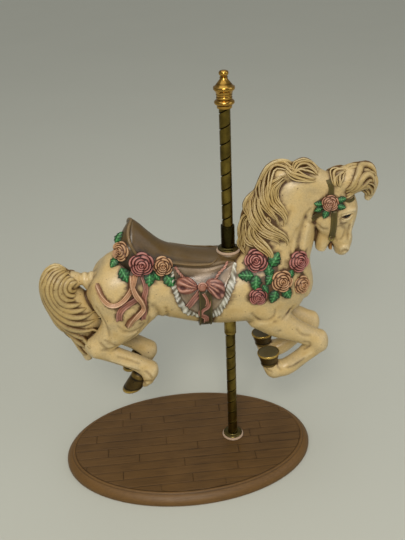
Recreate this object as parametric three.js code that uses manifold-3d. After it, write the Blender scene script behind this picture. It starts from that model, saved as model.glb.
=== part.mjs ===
// A carousel horse cast in one piece, carried by a grooved brass pole that stands in an oval planked base.
// Millimetres, +Z up, +X towards the horse's muzzle, -Y its decorated side.
// The origin is the middle of the base's underside.
import * as THREE from "three";
import { mergeVertices } from "three/addons/utils/BufferGeometryUtils.js";
import Module from "manifold-3d";

const wasm = await Module();
wasm.setup();

// ---- Driving dimensions ----
const GAP = 0.3; // clearance between pieces that touch
const BASE = { halfLength: 124, halfWidth: 80, height: 11, boards: 12, seam: 0.9, segments: 36 };
const EDGE = [[0, 0], [0, 4], [2.4, 5.6], [4, 8.8], [6.2, 9.4], [7, BASE.height]]; // how far in, height
const SEAM_MARGIN = 8.5; // from the base's outline to the ends of the boards
const POLE = { x: 46, radius: 4.7, top: 350 };
const SOCKET_DEPTH = 8; // how far the pole stands into the base
const WASHER = { radius: 10.5, height: 2 };
const FLANGE = { radius: 9.4, height: 2.2 };
const SADDLE_BOSS = { radius: 11.2, top: 222.4 };
const SLEEVE = { radius: 6.1, height: 20 };
const FERRULE = { radius: 5.6, height: 15, foot: 136 };
const RING_SIDES = 12; // of every turned piece
const LEG_OFFSET = 17; // from the middle plane to the middle of a leg
const HOOF = { sole: 10.8, coronet: 8.6, pastern: 7.6, sides: 10 };

// ---- Anatomy: each row is x, z, half the depth in the side view, half the width along Y ----
const TORSO = [
  [-78, 203, 8, 8], [-74, 201, 19, 17], [-66, 199, 28, 24], [-52, 197, 34, 28], [-32, 196, 31, 29],
  [-8, 191, 27, 28], [16, 187, 30, 30], [40, 185, 32, 31], [64, 188, 34, 31], [86, 188, 33, 29],
  [102, 189, 29, 26], [111, 190, 20.5, 19],
];
const NECK = [
  [82, 194, 31, 27], [90, 220, 30.5, 22.5], [95, 242, 29, 19], [99, 260, 25, 17], [104, 274, 21, 15],
  [116, 282, 13, 13], [129, 280, 10, 11.5],
];
const HEAD = [
  [130, 279, 9, 10.5], [138, 268, 16.5, 13.5], [141, 255, 19.5, 13.5], [143, 241, 16.5, 12],
  [143.5, 231, 14, 10.5], [144.5, 224, 12, 9],
];
const UPPER_LIP = [[149, 228, 8.5, 9.5], [149, 218.5, 7, 9]];
const CHIN = [[137, 229, 7, 8], [135.5, 220.5, 5, 6.5]];
const TAIL_DOCK = [[-70, 204, 6, 6.5], [-84, 204, 5.2, 6], [-96, 205, 8, 8]];
const TAIL = [
  [-105, 219, 5, 5], [-106, 212, 15, 11], [-104, 203, 20.5, 14], [-101, 190, 23.5, 15], [-96, 175, 24, 15],
  [-90, 160, 18.5, 13], [-90, 146, 10.5, 9], [-90, 133, 6.5, 6.5], [-89, 122, 4, 4],
];
// Leg pieces run along a leg's own plane; LEG_OFFSET places it.
const THIGH = [[-47, 184, 28, 14], [-53, 168, 20, 13], [-64, 155.5, 13, 11.5], [-77, 144.5, 9.8, 9.3]];
const HIND_CANNON = [[-78, 143, 9.3, 9], [-60, 132.5, 8, 7.8], [-43, 122.5, 8, 7.8], [-32, 113, 9.2, 8.8]];
const HIND_HOOF = { from: [-30, 106.5], coronet: [-41, 105.5], to: [-54, 105.5] };
const FOREARM = [
  [76, 166, 19, 13], [90, 152, 14, 12], [105, 143, 10.5, 10], [118, 135.5, 9.6, 9], [127, 130.5, 9.8, 9.3],
];
const SHIN = [[127, 128.5, 9.8, 9.3], [112, 114.5, 8, 7.8], [97, 103.5, 8.6, 8.2], [84, 102, 8.2, 8.2]];
const FORE_HOOF = { from: [80, 101], coronet: [80, 108.5], to: [79, 121.5] };

// Saddle cross-sections along the back: x, height at the rim, height in the middle, half the width
const SEAT = [
  [-55, 228, 230, 9], [-49, 235, 240, 15], [-43, 242, 251, 19], [-36.5, 246, 258.5, 20.5],
  [-31, 242, 254, 20], [-24, 234.5, 243, 19.2], [-14, 226, 231, 18.4], [0, 221, 223.5, 18],
  [14, 219.5, 219.5, 18], [28, 219.5, 219.5, 17.6], [38, 221, 222, 16.5], [48, 219, 221.5, 14], [57, 213, 216, 9],
];
const SEAT_FLOOR = 196; // the saddle solid reaches down to here, inside the body
const SKIRT = { x: 23, z: 219, halfLength: 25, drop: 37, stand: 2.6, columns: 9 };
const LACE = { width: 7.5, stand: 1.3 };
const GIRTH = { x: 20.5, halfWidth: 7.2, stand: 3.4, middle: 187, depth: 30.5, width: 31, columns: 8 };

// Flowers: x, z, radius; leaves: x, z, length, direction in degrees (0 towards the muzzle, 90 up)
const RUMP_ROSES = [[-47, 237, 8.6], [-31, 227, 11], [-13, 223, 9]];
const CHEST_ROSES = [[68, 220, 10.6], [104, 216, 9.6], [88, 203, 9.8], [107, 194, 8.4], [67, 191, 8]];
const CHEEK_ROSE = [132, 266, 7.2];
const FAR_RUMP_ROSES = [[-40, 230, 9.5], [-20, 222, 8.6]];
const FAR_CHEST_ROSES = [[78, 214, 9.6], [98, 204, 8.6]];
const LEAF_RISE = 2.6;
const ROSE_RISE = 0.62; // height of a rose as a share of its radius
const RUMP_LEAVES = [
  [-48, 243, 12, 75], [-53, 224, 13, 245], [-43, 218, 15, 285], [-25, 213, 14, 255], [-17, 214, 11, 300],
  [-7, 207, 15, 290],
];
const CHEST_LEAVES = [
  [84, 221, 15, 60], [57, 209, 15, 170], [66, 203, 14, 265], [77, 208, 13, 225], [82, 190, 13, 245],
  [93, 191, 13, 300],
];
const CHEEK_LEAVES = [[142, 267, 9, 10], [124, 261, 9, 210]];
const FAR_RUMP_LEAVES = [[-48, 220, 14, 235], [-9, 213, 14, 320]];
const FAR_CHEST_LEAVES = [[66, 207, 14, 200], [86, 194, 13, 250]];

// Locks: start x z, end x z, S-wave, end curl (positive turns the tip up), width
const MANE_LOCKS = [
  [[124, 288], [97, 287], -3, 0, 8], [[97, 295], [89, 252], 13, 7, 11], [[86, 290], [95, 232], 14, 6, 11],
  [[78, 278], [90, 233], 11, 5, 10], [[72, 268], [76, 215], 9, 7, 11], [[68, 256], [64, 224], 6, 3, 9],
  [[70, 252], [82, 241], 9, 3, 8],
];
const FAR_LOCKS = [
  [[98, 294], [86, 258], 8, 4, 11], [[82, 284], [80, 240], 9, 4, 11], [[70, 266], [70, 224], 8, 4, 11],
];
const CREST = [
  [129, 284, 5, 7], [117, 290, 7, 9.5], [104, 291, 7.5, 10], [92, 291, 8, 11], [85, 282, 8.5, 11.5],
  [77, 269, 8.5, 11.5], [70, 256, 8.5, 11.5], [66, 238, 8, 11], [64, 223, 7, 9.5],
];
const FORELOCK = [
  [133, 280, 9, 11], [145, 281.5, 11.5, 12.5], [157, 282.5, 11, 11.5], [167, 280, 9, 9.5], [173, 274.5, 5.5, 6.5],
  [172, 267, 4.5, 5], [170.5, 262, 2.5, 3],
];
const CHEEK_STRAP = [[129, 287], [132, 274], [135, 256], [136, 236]];
const RUMP_RIBBONS = [
  [[-38, 217], [-44, 208], [-51, 196], [-60, 193], [-69, 209]],
  [[-31, 217], [-32, 204], [-35, 190], [-43, 180], [-46, 172]],
];
const HAIR_FLUTES = 0.15; // how far the valleys between locks draw in, as a share
const BOW = { x: 19, z: 199, loop: 18, rise: 7, knot: 4.2 };

// ---- Solids and joins ----

// A geometry as a manifold solid, its shared vertices merged.
function solid(geometry) {
  const bare = geometry.index ? geometry.toNonIndexed() : geometry.clone();
  bare.deleteAttribute("normal");
  bare.deleteAttribute("uv");
  const merged = mergeVertices(bare, 1e-4);
  return new wasm.Manifold(
    new wasm.Mesh({
      numProp: 3,
      vertProperties: new Float32Array(merged.attributes.position.array),
      triVerts: new Uint32Array(merged.index.array),
    }),
  );
}

// A manifold solid back as a geometry.
function geometryOf(manifold) {
  const mesh = manifold.getMesh();
  const geometry = new THREE.BufferGeometry();
  geometry.setAttribute("position", new THREE.BufferAttribute(new Float32Array(mesh.vertProperties), 3));
  geometry.setIndex(new THREE.BufferAttribute(new Uint32Array(mesh.triVerts), 1));
  geometry.computeVertexNormals();
  return geometry;
}

// A closed surface through rings of points, all with the same number, and a fan over each end.
function ringSolid(rings) {
  const sides = rings[0].length;
  const positions = rings.flat().flatMap((p) => [p.x, p.y, p.z]);
  const faces = [];
  const at = (ring, side) => ring * sides + (side % sides);
  for (let ring = 0; ring + 1 < rings.length; ring++) {
    for (let side = 0; side < sides; side++) {
      const [a, b] = [at(ring, side), at(ring, side + 1)];
      const [c, d] = [at(ring + 1, side), at(ring + 1, side + 1)];
      faces.push(a, b, d, a, d, c);
    }
  }
  for (const [ring, turned] of [[0, true], [rings.length - 1, false]]) {
    const middle = rings[ring].reduce((sum, p) => sum.add(p), new THREE.Vector3()).divideScalar(sides);
    const hub = positions.length / 3;
    positions.push(middle.x, middle.y, middle.z);
    for (let side = 0; side < sides; side++) {
      const [a, b] = [at(ring, side), at(ring, side + 1)];
      faces.push(...(turned ? [hub, b, a] : [hub, a, b]));
    }
  }
  const geometry = new THREE.BufferGeometry();
  geometry.setAttribute("position", new THREE.Float32BufferAttribute(positions, 3));
  geometry.setIndex(faces);
  const made = solid(geometry);
  if (made.volume() > 0) return made;
  geometry.setIndex(faces.map((_, i) => faces[i - (i % 3) + [0, 2, 1][i % 3]]));
  return solid(geometry);
}

// Evenly spaced samples of rows of numbers, through which a smooth curve passes.
function smoothRows(rows, count) {
  const curve = (column) => new THREE.SplineCurve(rows.map((row, i) => new THREE.Vector2(i, row[column])));
  const columns = rows[0].map((_, column) => curve(column));
  return Array.from({ length: count }, (_, i) => columns.map((column) => column.getPoint(i / (count - 1)).y));
}

// A round-ended tube along a centre line in an XZ plane.
// A row is x, z, half the depth in the plane, half the width across it.
// Flutes draw in every other side by a share, as locks of hair do.
function limb(rows, y, sides, count, flutes = 0) {
  const samples = smoothRows(rows, count);
  const spots = samples.map(([x, z]) => new THREE.Vector2(x, z));
  const along = (i) => spots[Math.min(i + 1, count - 1)].clone().sub(spots[Math.max(i - 1, 0)]).normalize();
  const ring = (centre, direction, half, wide) =>
    Array.from({ length: sides }, (_, k) => {
      const angle = (2 * Math.PI * k) / sides;
      const draw = k % 2 ? 1 - flutes : 1;
      const out = draw * half * Math.cos(angle);
      const across = draw * wide * Math.sin(angle);
      return new THREE.Vector3(centre.x - direction.y * out, y + across, centre.y + direction.x * out);
    });
  const rings = samples.map(([, , half, wide], i) => ring(spots[i], along(i), half, wide));
  const cap = (i, sign) => {
    const [, , half, wide] = samples[i];
    const centre = spots[i].clone().addScaledVector(along(i), sign * 0.6 * Math.min(half, wide));
    return ring(centre, along(i), 0.62 * half, 0.62 * wide);
  };
  return ringSolid([cap(0, -1), ...rings, cap(count - 1, 1)]);
}

// Both legs of a pair, made from one function of the side: -1 decorated, +1 far.
const pair = (make) => wasm.Manifold.union([make(-1), make(1)]);

// ---- The horse's skin, which everything raised lies on ----

// Measures the surface of a solid by rays along Y.
function skinOf(manifold) {
  const mesh = new THREE.Mesh(geometryOf(manifold), new THREE.MeshBasicMaterial({ side: THREE.DoubleSide }));
  const ray = new THREE.Raycaster();
  const depth = (x, z, side) => {
    ray.set(new THREE.Vector3(x, side * 200, z), new THREE.Vector3(0, -side, 0));
    const hit = ray.intersectObject(mesh)[0];
    return hit ? Math.max(0, side * hit.point.y) : 0;
  };
  const reach = 4; // mm either side, over which the slope is taken
  const frame = (x, z, side) => {
    const slopeX = (depth(x + reach, z, side) - depth(x - reach, z, side)) / (2 * reach);
    const slopeZ = (depth(x, z + reach, side) - depth(x, z - reach, side)) / (2 * reach);
    const steep = 1.6; // limits the tilt at the outline
    const clamp = (v) => Math.max(-steep, Math.min(steep, v));
    const normal = new THREE.Vector3(-clamp(slopeX), side, -clamp(slopeZ)).normalize();
    return { point: new THREE.Vector3(x, side * depth(x, z, side), z), normal };
  };
  return frame;
}

// Points of an S-shaped lock between two places, with a hooked tip.
function lockRoute([from, to, wave, curl], count) {
  const start = new THREE.Vector2(...from);
  const run = new THREE.Vector2(...to).sub(start);
  const aside = new THREE.Vector2(run.y, -run.x).normalize();
  const hookFrom = 0.78; // the share of the way where the tip starts to turn
  return Array.from({ length: count }, (_, i) => {
    const t = i / (count - 1);
    const hook = Math.max(0, (t - hookFrom) / (1 - hookFrom));
    const sway = wave * Math.sin(1.6 * Math.PI * t) * (1 - 0.35 * t) - curl * hook * hook;
    const spot = start.clone().addScaledVector(run, t * (1 - 0.12 * hook * Math.sign(curl)));
    return spot.addScaledVector(aside, sway);
  });
}

const CROWNED = [[-1, -1], [-0.1, 1], [1, -1]]; // shares of half the width, and of the rise or the sink
const FLAT = [[-1, -1], [-0.9, 1], [0.9, 1], [1, -1]];

// A flattened strand along frames of point and normal.
// Its outer side rises from the skin, and its inner side is sunk in it.
function strand(frames, width, rise, sink, taper, profile = CROWNED) {
  const count = frames.length;
  const rings = frames.map(({ point, normal }, i) => {
    const next = frames[Math.min(i + 1, count - 1)].point;
    const ahead = next.clone().sub(frames[Math.max(i - 1, 0)].point).normalize();
    const aside = new THREE.Vector3().crossVectors(ahead, normal).normalize();
    const size = taper(i / (count - 1));
    return profile.map(([across, up]) =>
      point
        .clone()
        .addScaledVector(aside, (across * width * size) / 2)
        .addScaledVector(normal, up > 0 ? up * rise * (0.4 + 0.6 * size) : -sink),
    );
  });
  return ringSolid(rings);
}

const lockTaper = (t) => 0.25 + 0.75 * Math.sin(Math.PI * Math.min(1, 0.22 + 0.78 * t) ** 1.1) ** 0.8;
const ribbonTaper = () => 1;

// A rose is a dome of petals: a scalloped rim, an inner whorl turned against it, and a raised heart.
function rose(skin, [x, z, radius], side) {
  const { point, normal } = skin(x, z, side);
  const turn = new THREE.Quaternion().setFromUnitVectors(new THREE.Vector3(0, 0, 1), normal);
  const petals = 4;
  const sides = 2 * petals;
  const rings = [[1, 0.15], [0.6, 0.85]].map(([across, up], ring) =>
    Array.from({ length: sides }, (_, k) => {
      const angle = ((k + 0.5 * ring) * 2 * Math.PI) / sides;
      const lobe = across * radius * (k % 2 ? 1.04 : 0.94);
      return new THREE.Vector3(lobe * Math.cos(angle), lobe * Math.sin(angle), up * radius * ROSE_RISE);
    }),
  );
  const heart = 0.8 * radius * ROSE_RISE;
  return domed(rings, -heart, heart, (spot) => spot.applyQuaternion(turn).add(point));
}

// A leaf: four edge points, a ridge above and a keel below.
function leaf(skin, [x, z, length, degrees], side) {
  const angle = THREE.MathUtils.degToRad(degrees);
  const edge = [[-0.5, 0], [-0.05, 0.32], [0.5, 0], [-0.05, -0.32]].map(([along, across]) =>
    new THREE.Vector3(along * length, across * length, 0.6),
  );
  const { point, normal } = skin(x, z, side);
  const ahead = new THREE.Vector3(Math.cos(angle), 0, Math.sin(angle)).projectOnPlane(normal).normalize();
  const basis = new THREE.Matrix4().makeBasis(ahead, new THREE.Vector3().crossVectors(normal, ahead), normal);
  return domed([edge], -3, LEAF_RISE, (spot) => spot.applyMatrix4(basis).add(point));
}

// Rings of points closed by a point below the first and one above the last.
function domed(rings, below, above, place) {
  const tip = (up) => rings[0].map(() => new THREE.Vector3(0, 0, up));
  return ringSolid([tip(below), ...rings, tip(above)].map((ring) => ring.map(place)));
}

// A strip of ribbon that follows side-view points over the skin.
function ribbon(skin, points, side, width, count) {
  const frames = smoothRows(points, count).map(([x, z]) => skin(x, z, side));
  return strand(frames, width, 1.7, 2.5, ribbonTaper, FLAT);
}

// ---- The horse ----

function legs() {
  return pair((side) => {
    const y = side * LEG_OFFSET;
    return wasm.Manifold.union([
      limb(THIGH, y * 0.95, 8, 5), limb(HIND_CANNON, y, 7, 3), hoof(HIND_HOOF, y),
      limb(FOREARM, y * 0.97, 8, 4), limb(SHIN, y, 7, 4), hoof(FORE_HOOF, y),
    ]);
  });
}

// A hoof is a cone that widens from the coronet to the flat sole, below a stub of pastern.
function hoof({ from, coronet, to }, y) {
  const place = ([x, z]) => new THREE.Vector3(x, y, z);
  const axis = place(to).sub(place(from));
  const height = axis.length();
  const up = place(coronet).distanceTo(place(from));
  const rows = [[0, 0], [HOOF.pastern, 0], [HOOF.coronet, up], [HOOF.sole, height], [0, height]];
  const form = new THREE.LatheGeometry(rows.map(([r, h]) => new THREE.Vector2(r, h)), HOOF.sides);
  form.applyQuaternion(new THREE.Quaternion().setFromUnitVectors(new THREE.Vector3(0, 1, 0), axis.normalize()));
  return solid(form.translate(from[0], y, from[1]));
}

// The seat: cross-sections carried along the back, dished between two rims.
function seat() {
  const rings = smoothRows(SEAT, 14).map(([x, rim, middle, half]) =>
    [
      [-0.86, SEAT_FLOOR], [-1, rim - 5], [-0.9, rim], [-0.4, (rim + 3 * middle) / 4],
      [0.4, (rim + 3 * middle) / 4], [0.9, rim], [1, rim - 5], [0.86, SEAT_FLOOR],
    ].map(([across, z]) => new THREE.Vector3(x, across * half, Math.max(z, SEAT_FLOOR))),
  );
  return ringSolid(rings);
}

// The U-shaped skirt on the flank and the lower lace border round it, as one raised flap.
function flap(skin, side) {
  const rings = [];
  const share = SKIRT.drop / (SKIRT.drop + LACE.width);
  for (let c = 0; c <= SKIRT.columns; c++) {
    const angle = Math.PI * (c / SKIRT.columns);
    const along = -(SKIRT.halfLength + LACE.width) * Math.cos(angle);
    const down = -(SKIRT.drop + LACE.width) * Math.sin(angle) ** 0.8;
    const spot = ([out, up]) => {
      const { point, normal } = skin(SKIRT.x + out * along, SKIRT.z + out * down, side);
      return point.addScaledVector(normal, up);
    };
    const cloth = [[0.05, -7], [0.05, SKIRT.stand], [share, SKIRT.stand]];
    const lace = [[share, LACE.stand], [1, LACE.stand], [1, -3]];
    rings.push([...cloth, ...lace].map(spot));
  }
  return ringSolid(rings);
}

// The girth passes under the belly: a band that follows the barrel's section, from flank to flank.
function girth() {
  const rings = Array.from({ length: GIRTH.columns + 1 }, (_, c) => {
    const angle = Math.PI * (0.9 + (1.2 * c) / GIRTH.columns);
    const spot = (stand, shift) =>
      new THREE.Vector3(
        GIRTH.x + shift,
        (GIRTH.width + stand) * Math.cos(angle),
        GIRTH.middle + (GIRTH.depth + stand) * Math.sin(angle),
      );
    const h = GIRTH.halfWidth;
    return [spot(-3, -h), spot(GIRTH.stand, 2 - h), spot(GIRTH.stand, h - 2), spot(-3, h)];
  });
  return ringSolid(rings);
}

function bow(skin, side) {
  const knot = skin(BOW.x, BOW.z, side);
  const lift = SKIRT.stand + 1.5;
  const loops = [-1, 1].map((hand) => {
    const frames = Array.from({ length: 6 }, (_, i) => {
      const t = i / 5;
      const { point, normal } = skin(BOW.x + hand * BOW.loop * t, BOW.z + 4 * t, side);
      return { point: point.addScaledVector(normal, lift + 1.5 * Math.sin(Math.PI * t)), normal };
    });
    const bulge = (t) => 0.4 + 0.6 * Math.sin(Math.PI * Math.min(1, 0.15 + 0.8 * t));
    return strand(frames, 2 * BOW.rise, 2.6, lift + 2, bulge);
  });
  const centre = new THREE.SphereGeometry(BOW.knot, 6, 4);
  const place = knot.point.clone().addScaledVector(knot.normal, lift + 1);
  centre.translate(place.x, place.y, place.z);
  const tails = [
    [[BOW.x, BOW.z], [11, 191], [7, 184]],
    [[BOW.x + 1, BOW.z - 3], [25, 189], [19, 181], [23, 172], [20, 168]],
  ].map((points) => {
    const frames = smoothRows(points, 5).map(([x, z]) => {
      const { point, normal } = skin(x, z, side);
      return { point: point.addScaledVector(normal, lift), normal };
    });
    return strand(frames, 4.6, 1.6, lift + 1, ribbonTaper);
  });
  return [...loops, solid(centre), ...tails];
}

// The bridle's cheek straps, one on each side of the head.
const bridle = (skin) => [-1, 1].map((side) => ribbon(skin, CHEEK_STRAP, side, 5.5, 5));

function horse() {
  const trunk = wasm.Manifold.union([
    limb(TORSO, 0, 14, 11), limb(NECK, 0, 12, 7), limb(HEAD, 0, 12, 6), limb(UPPER_LIP, 0, 8, 2),
    limb(CHIN, 0, 6, 2), limb(TAIL_DOCK, 0, 8, 2), limb(TAIL, 0, 16, 10, HAIR_FLUTES), legs(),
  ]);
  const skin = skinOf(trunk);
  const form = wasm.Manifold.union([
    trunk, limb(CREST, 0, 10, 10, HAIR_FLUTES), limb(FORELOCK, 0, 10, 8, HAIR_FLUTES), seat(),
  ]);
  const dressed = skinOf(form);
  const locks = (list, side) =>
    list.map((lock) => strand(lockRoute(lock, 7).map((p) => dressed(p.x, p.y, side)), lock[4], 3, 3, lockTaper));
  const ornaments = (make, list, side) => list.map((spot) => make(dressed, spot, side));
  return wasm.Manifold.union([
    form, pillar(SADDLE_BOSS.radius, SADDLE_BOSS.top - 20, SADDLE_BOSS.top), girth(),
    flap(skin, -1), flap(skin, 1),
    ...bow(skin, -1), ...locks(MANE_LOCKS, -1), ...locks(FAR_LOCKS, 1), ...bridle(skin),
    ...RUMP_RIBBONS.map((points) => ribbon(skin, points, -1, 5, 6)),
    ...ornaments(rose, [...RUMP_ROSES, ...CHEST_ROSES, CHEEK_ROSE], -1),
    ...ornaments(rose, [...FAR_RUMP_ROSES, ...FAR_CHEST_ROSES, CHEEK_ROSE], 1),
    ...ornaments(leaf, [...RUMP_LEAVES, ...CHEST_LEAVES, ...CHEEK_LEAVES], -1),
    ...ornaments(leaf, [...FAR_RUMP_LEAVES, ...FAR_CHEST_LEAVES, ...CHEEK_LEAVES], 1),
  ]).subtract(pillar(POLE.radius + GAP, 100, 300));
}

// A round upright on the pole's axis, between two heights.
function pillar(radius, low, high) {
  const shaft = new THREE.CylinderGeometry(radius, radius, high - low, RING_SIDES);
  shaft.rotateX(Math.PI / 2);
  return solid(shaft.translate(POLE.x, 0, (low + high) / 2));
}

// ---- Base, pole and fittings ----

// The oval base: ellipses stacked up the moulded edge, then cut by the seams of the boards and the pole's socket.
function base() {
  const { halfLength, halfWidth, height, segments } = BASE;
  const rings = EDGE.map(([inset, z]) =>
    Array.from({ length: segments }, (_, k) => {
      const angle = (2 * Math.PI * k) / segments;
      return new THREE.Vector3((halfLength - inset) * Math.cos(angle), (halfWidth - inset) * Math.sin(angle), z);
    }),
  );
  const socket = pillar(POLE.radius + GAP, height - SOCKET_DEPTH, height + 1);
  return ringSolid(rings).subtract(wasm.Manifold.union([socket, ...seams()]));
}

// V-shaped seams between neighbouring boards.
function seams() {
  const { halfLength, halfWidth, height, boards, seam } = BASE;
  const [a, b] = [halfLength - SEAM_MARGIN, halfWidth - SEAM_MARGIN];
  return Array.from({ length: boards - 1 }, (_, row) => {
    const y = b * ((2 * (row + 1)) / boards - 1);
    const bar = new THREE.CylinderGeometry(seam, seam, 2 * a * Math.sqrt(1 - (y / b) ** 2), 4, 1);
    bar.rotateY(Math.PI / 4);
    bar.rotateZ(Math.PI / 2);
    return solid(bar.translate(0, y, height));
  });
}

// A turned piece from rows of radius and height: from axis to axis, or closed on itself round a hole.
function turned(rows) {
  const profile = rows.map(([r, z]) => new THREE.Vector2(r, z));
  return solid(new THREE.LatheGeometry(profile, RING_SIDES).rotateX(Math.PI / 2));
}

// A turned ring that slides on the pole with a little play.
function ringOnPole(profile) {
  const inner = POLE.radius + GAP;
  const [bottom, top] = [profile[0][1], profile.at(-1)[1]];
  return turned([[inner, bottom], ...profile, [inner, top], [inner, bottom]]);
}

function pole() {
  const foot = BASE.height - SOCKET_DEPTH + GAP;
  return turned([[0, foot], [POLE.radius, foot], [POLE.radius, POLE.top], [0, POLE.top]]);
}

const washer = (z) => ringOnPole([[WASHER.radius, z], [WASHER.radius - 0.8, z + WASHER.height]]);
const flange = (z) =>
  ringOnPole([[FLANGE.radius, z], [FLANGE.radius, z + 1.2], [SLEEVE.radius, z + FLANGE.height]]);
const tube = ({ radius, height }, z) => ringOnPole([[radius, z], [radius, z + height]]);

// Knob, bell and rings of the finial, standing on the pole's end.
function finial() {
  const foot = POLE.top + GAP;
  const profile = [
    [0, 0], [6.2, 0], [6.2, 2.4], [8.3, 4.6], [6.4, 7], [6.2, 9.6], [7.3, 13.2], [8.7, 14.8], [8.7, 17.2],
    [5.2, 20.4], [2.9, 25.6], [4, 28], [0, 29.7],
  ];
  return turned(profile.map(([r, up]) => [r, foot + up]));
}

// ---- The pieces ----
const finish = (color, roughness, metalness) => new THREE.MeshStandardMaterial({ color, roughness, metalness });
const ivory = finish(0xd9bf8c, 0.45, 0);
const walnut = finish(0x6b4634, 0.55, 0);
const oldBrass = finish(0x6e5526, 0.35, 0.9);
const brass = finish(0xb08a3c, 0.25, 0.95);
const putty = finish(0xb7a382, 0.6, 0);

// Pieces on the pole stand on each other, a gap apart.
const baseWasherFoot = BASE.height + GAP;
const saddleWasherFoot = SADDLE_BOSS.top + GAP;
const flangeLift = WASHER.height + GAP;
const sleeveFoot = saddleWasherFoot + flangeLift + FLANGE.height + GAP;
const group = new THREE.Group();
const upright = new THREE.Group();
upright.position.x = POLE.x;
group.add(upright);
for (const [name, form, material, parent] of [
  ["horse", horse(), ivory, group],
  ["base", base(), walnut, group],
  ["pole", pole(), oldBrass, upright],
  ["finial", finial(), brass, upright],
  ["base_washer", washer(baseWasherFoot), putty, upright],
  ["base_flange", flange(baseWasherFoot + flangeLift), oldBrass, upright],
  ["saddle_washer", washer(saddleWasherFoot), putty, upright],
  ["saddle_flange", flange(saddleWasherFoot + flangeLift), oldBrass, upright],
  ["sleeve", tube(SLEEVE, sleeveFoot), oldBrass, upright],
  ["ferrule", tube(FERRULE, FERRULE.foot), oldBrass, upright],
]) {
  const mesh = new THREE.Mesh(geometryOf(form), material);
  mesh.name = name;
  parent.add(mesh);
}

export default group;
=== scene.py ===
"""A painted carousel horse cast in one piece, on a grooved brass pole over an oval planked base.

Lengths inside the file are millimetres and become metres when a mesh is made.
+X runs towards the muzzle, -Y is the decorated side, and +Z is up.
"""

import bmesh
import bpy
import numpy as np
import openvdb
from bpy.props import FloatProperty, FloatVectorProperty, IntProperty, PointerProperty
from mathutils import Matrix, Vector


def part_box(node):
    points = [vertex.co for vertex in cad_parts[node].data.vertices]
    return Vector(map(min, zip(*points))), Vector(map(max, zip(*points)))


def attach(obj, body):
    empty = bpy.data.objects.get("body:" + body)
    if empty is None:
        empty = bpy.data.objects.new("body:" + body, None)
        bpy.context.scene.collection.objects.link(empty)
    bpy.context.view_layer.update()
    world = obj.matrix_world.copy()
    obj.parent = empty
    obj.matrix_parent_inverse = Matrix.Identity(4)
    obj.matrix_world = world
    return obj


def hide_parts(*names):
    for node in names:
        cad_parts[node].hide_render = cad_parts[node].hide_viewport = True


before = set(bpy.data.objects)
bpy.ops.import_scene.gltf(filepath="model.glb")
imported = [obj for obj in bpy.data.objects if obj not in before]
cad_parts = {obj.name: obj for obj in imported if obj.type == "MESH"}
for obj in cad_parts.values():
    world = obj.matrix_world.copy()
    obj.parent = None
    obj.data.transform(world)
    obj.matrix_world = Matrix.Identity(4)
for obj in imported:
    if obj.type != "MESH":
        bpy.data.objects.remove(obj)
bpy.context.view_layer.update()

bl_info = {
    "name": "Carousel horse figurine",
    "version": (1, 0, 0),
    "blender": (4, 5, 0),
    "location": "View3D > Sidebar > Carousel",
    "description": "Builds a painted cast carousel horse with its brass pole and planked base",
    "category": "Object",
}

MM = 0.001
NEAR, FAR = -1, 1
POLE_X = 46
TINY = 1e-6

# ---- Anatomy: each row is x, z, half the depth in the side view, half the width along Y ----
TORSO = [
    (-78, 203, 8, 8), (-74, 201, 19, 17), (-66, 199, 28, 24), (-52, 197, 34, 28), (-32, 196, 31, 29),
    (-8, 191, 27, 28), (16, 187, 30, 30), (40, 185, 32, 31), (64, 188, 34, 31), (86, 188, 33, 29),
    (102, 189, 29, 26), (111, 190, 20.5, 19),
]
NECK = [
    (82, 194, 31, 27), (90, 220, 30.5, 22.5), (95, 242, 29, 19), (99, 260, 25, 17), (104, 274, 21, 15),
    (116, 282, 13, 13), (129, 280, 10, 11.5),
]
HEAD = [
    (130, 279, 9, 10.5), (138, 268, 16.5, 13.5), (141, 255, 19.5, 13.5), (143, 241, 16.5, 12),
    (145.5, 231, 11.8, 10.5), (148, 224, 9, 9),
]
UPPER_LIP = [(148.5, 228, 8.5, 9.5), (148.5, 220.5, 8, 9.2), (147.6, 214.5, 6, 8)]
CHIN = [(134, 235, 9, 9), (131, 226, 6.4, 7.8), (129.4, 218.5, 4.6, 6.6)]
DOCK = [
    (-66, 205, 7, 7), (-74, 205.4, 5.4, 6.2), (-76.6, 205.6, 6.4, 7), (-79.4, 205.6, 4.8, 5.6),
    (-82.4, 206, 6.2, 6.8), (-85.2, 206, 5.0, 5.8), (-88.6, 206.2, 6.4, 7.2), (-93, 206, 8, 9),
]
TAIL = [
    (-104.6, 218, 5, 5), (-105.6, 211.6, 13.2, 11), (-105.8, 203, 16, 13.5), (-105, 195.5, 16.6, 14),
    (-102.5, 188.5, 18, 14.3), (-99, 181.5, 19.6, 14.5), (-94.6, 172, 21, 14.5),
    (-89.3, 160, 17.8, 13), (-90, 146, 10.5, 9), (-90, 133, 6.5, 6.5), (-89, 122, 4, 4),
]
THIGH = [(-47, 184, 28, 14), (-53, 168, 20, 13), (-64, 155.5, 13, 11.5), (-77, 144.5, 9.8, 9.3)]
HIND_CANNON = [(-78, 143, 9.3, 9), (-60, 132.5, 7.8, 7.6), (-43, 122.5, 7.8, 7.6), (-32, 113, 9.2, 8.8)]
FOREARM = [
    (76, 166, 19, 13), (90, 152, 14, 12), (105, 143, 10.5, 10), (118, 135.5, 9.6, 9), (127, 130.5, 9.8, 9.3),
]
SHIN = [(127, 128.5, 9.8, 9.3), (112, 114.5, 7.8, 7.6), (97, 103.5, 8.4, 8), (84, 102, 8.2, 8.2)]
LEG_OFFSET = 17
HIND_HOOF = ((-40.5, 113), (-50.2, 95))
FORE_HOOF = ((80.5, 107), (79.3, 122))
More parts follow.
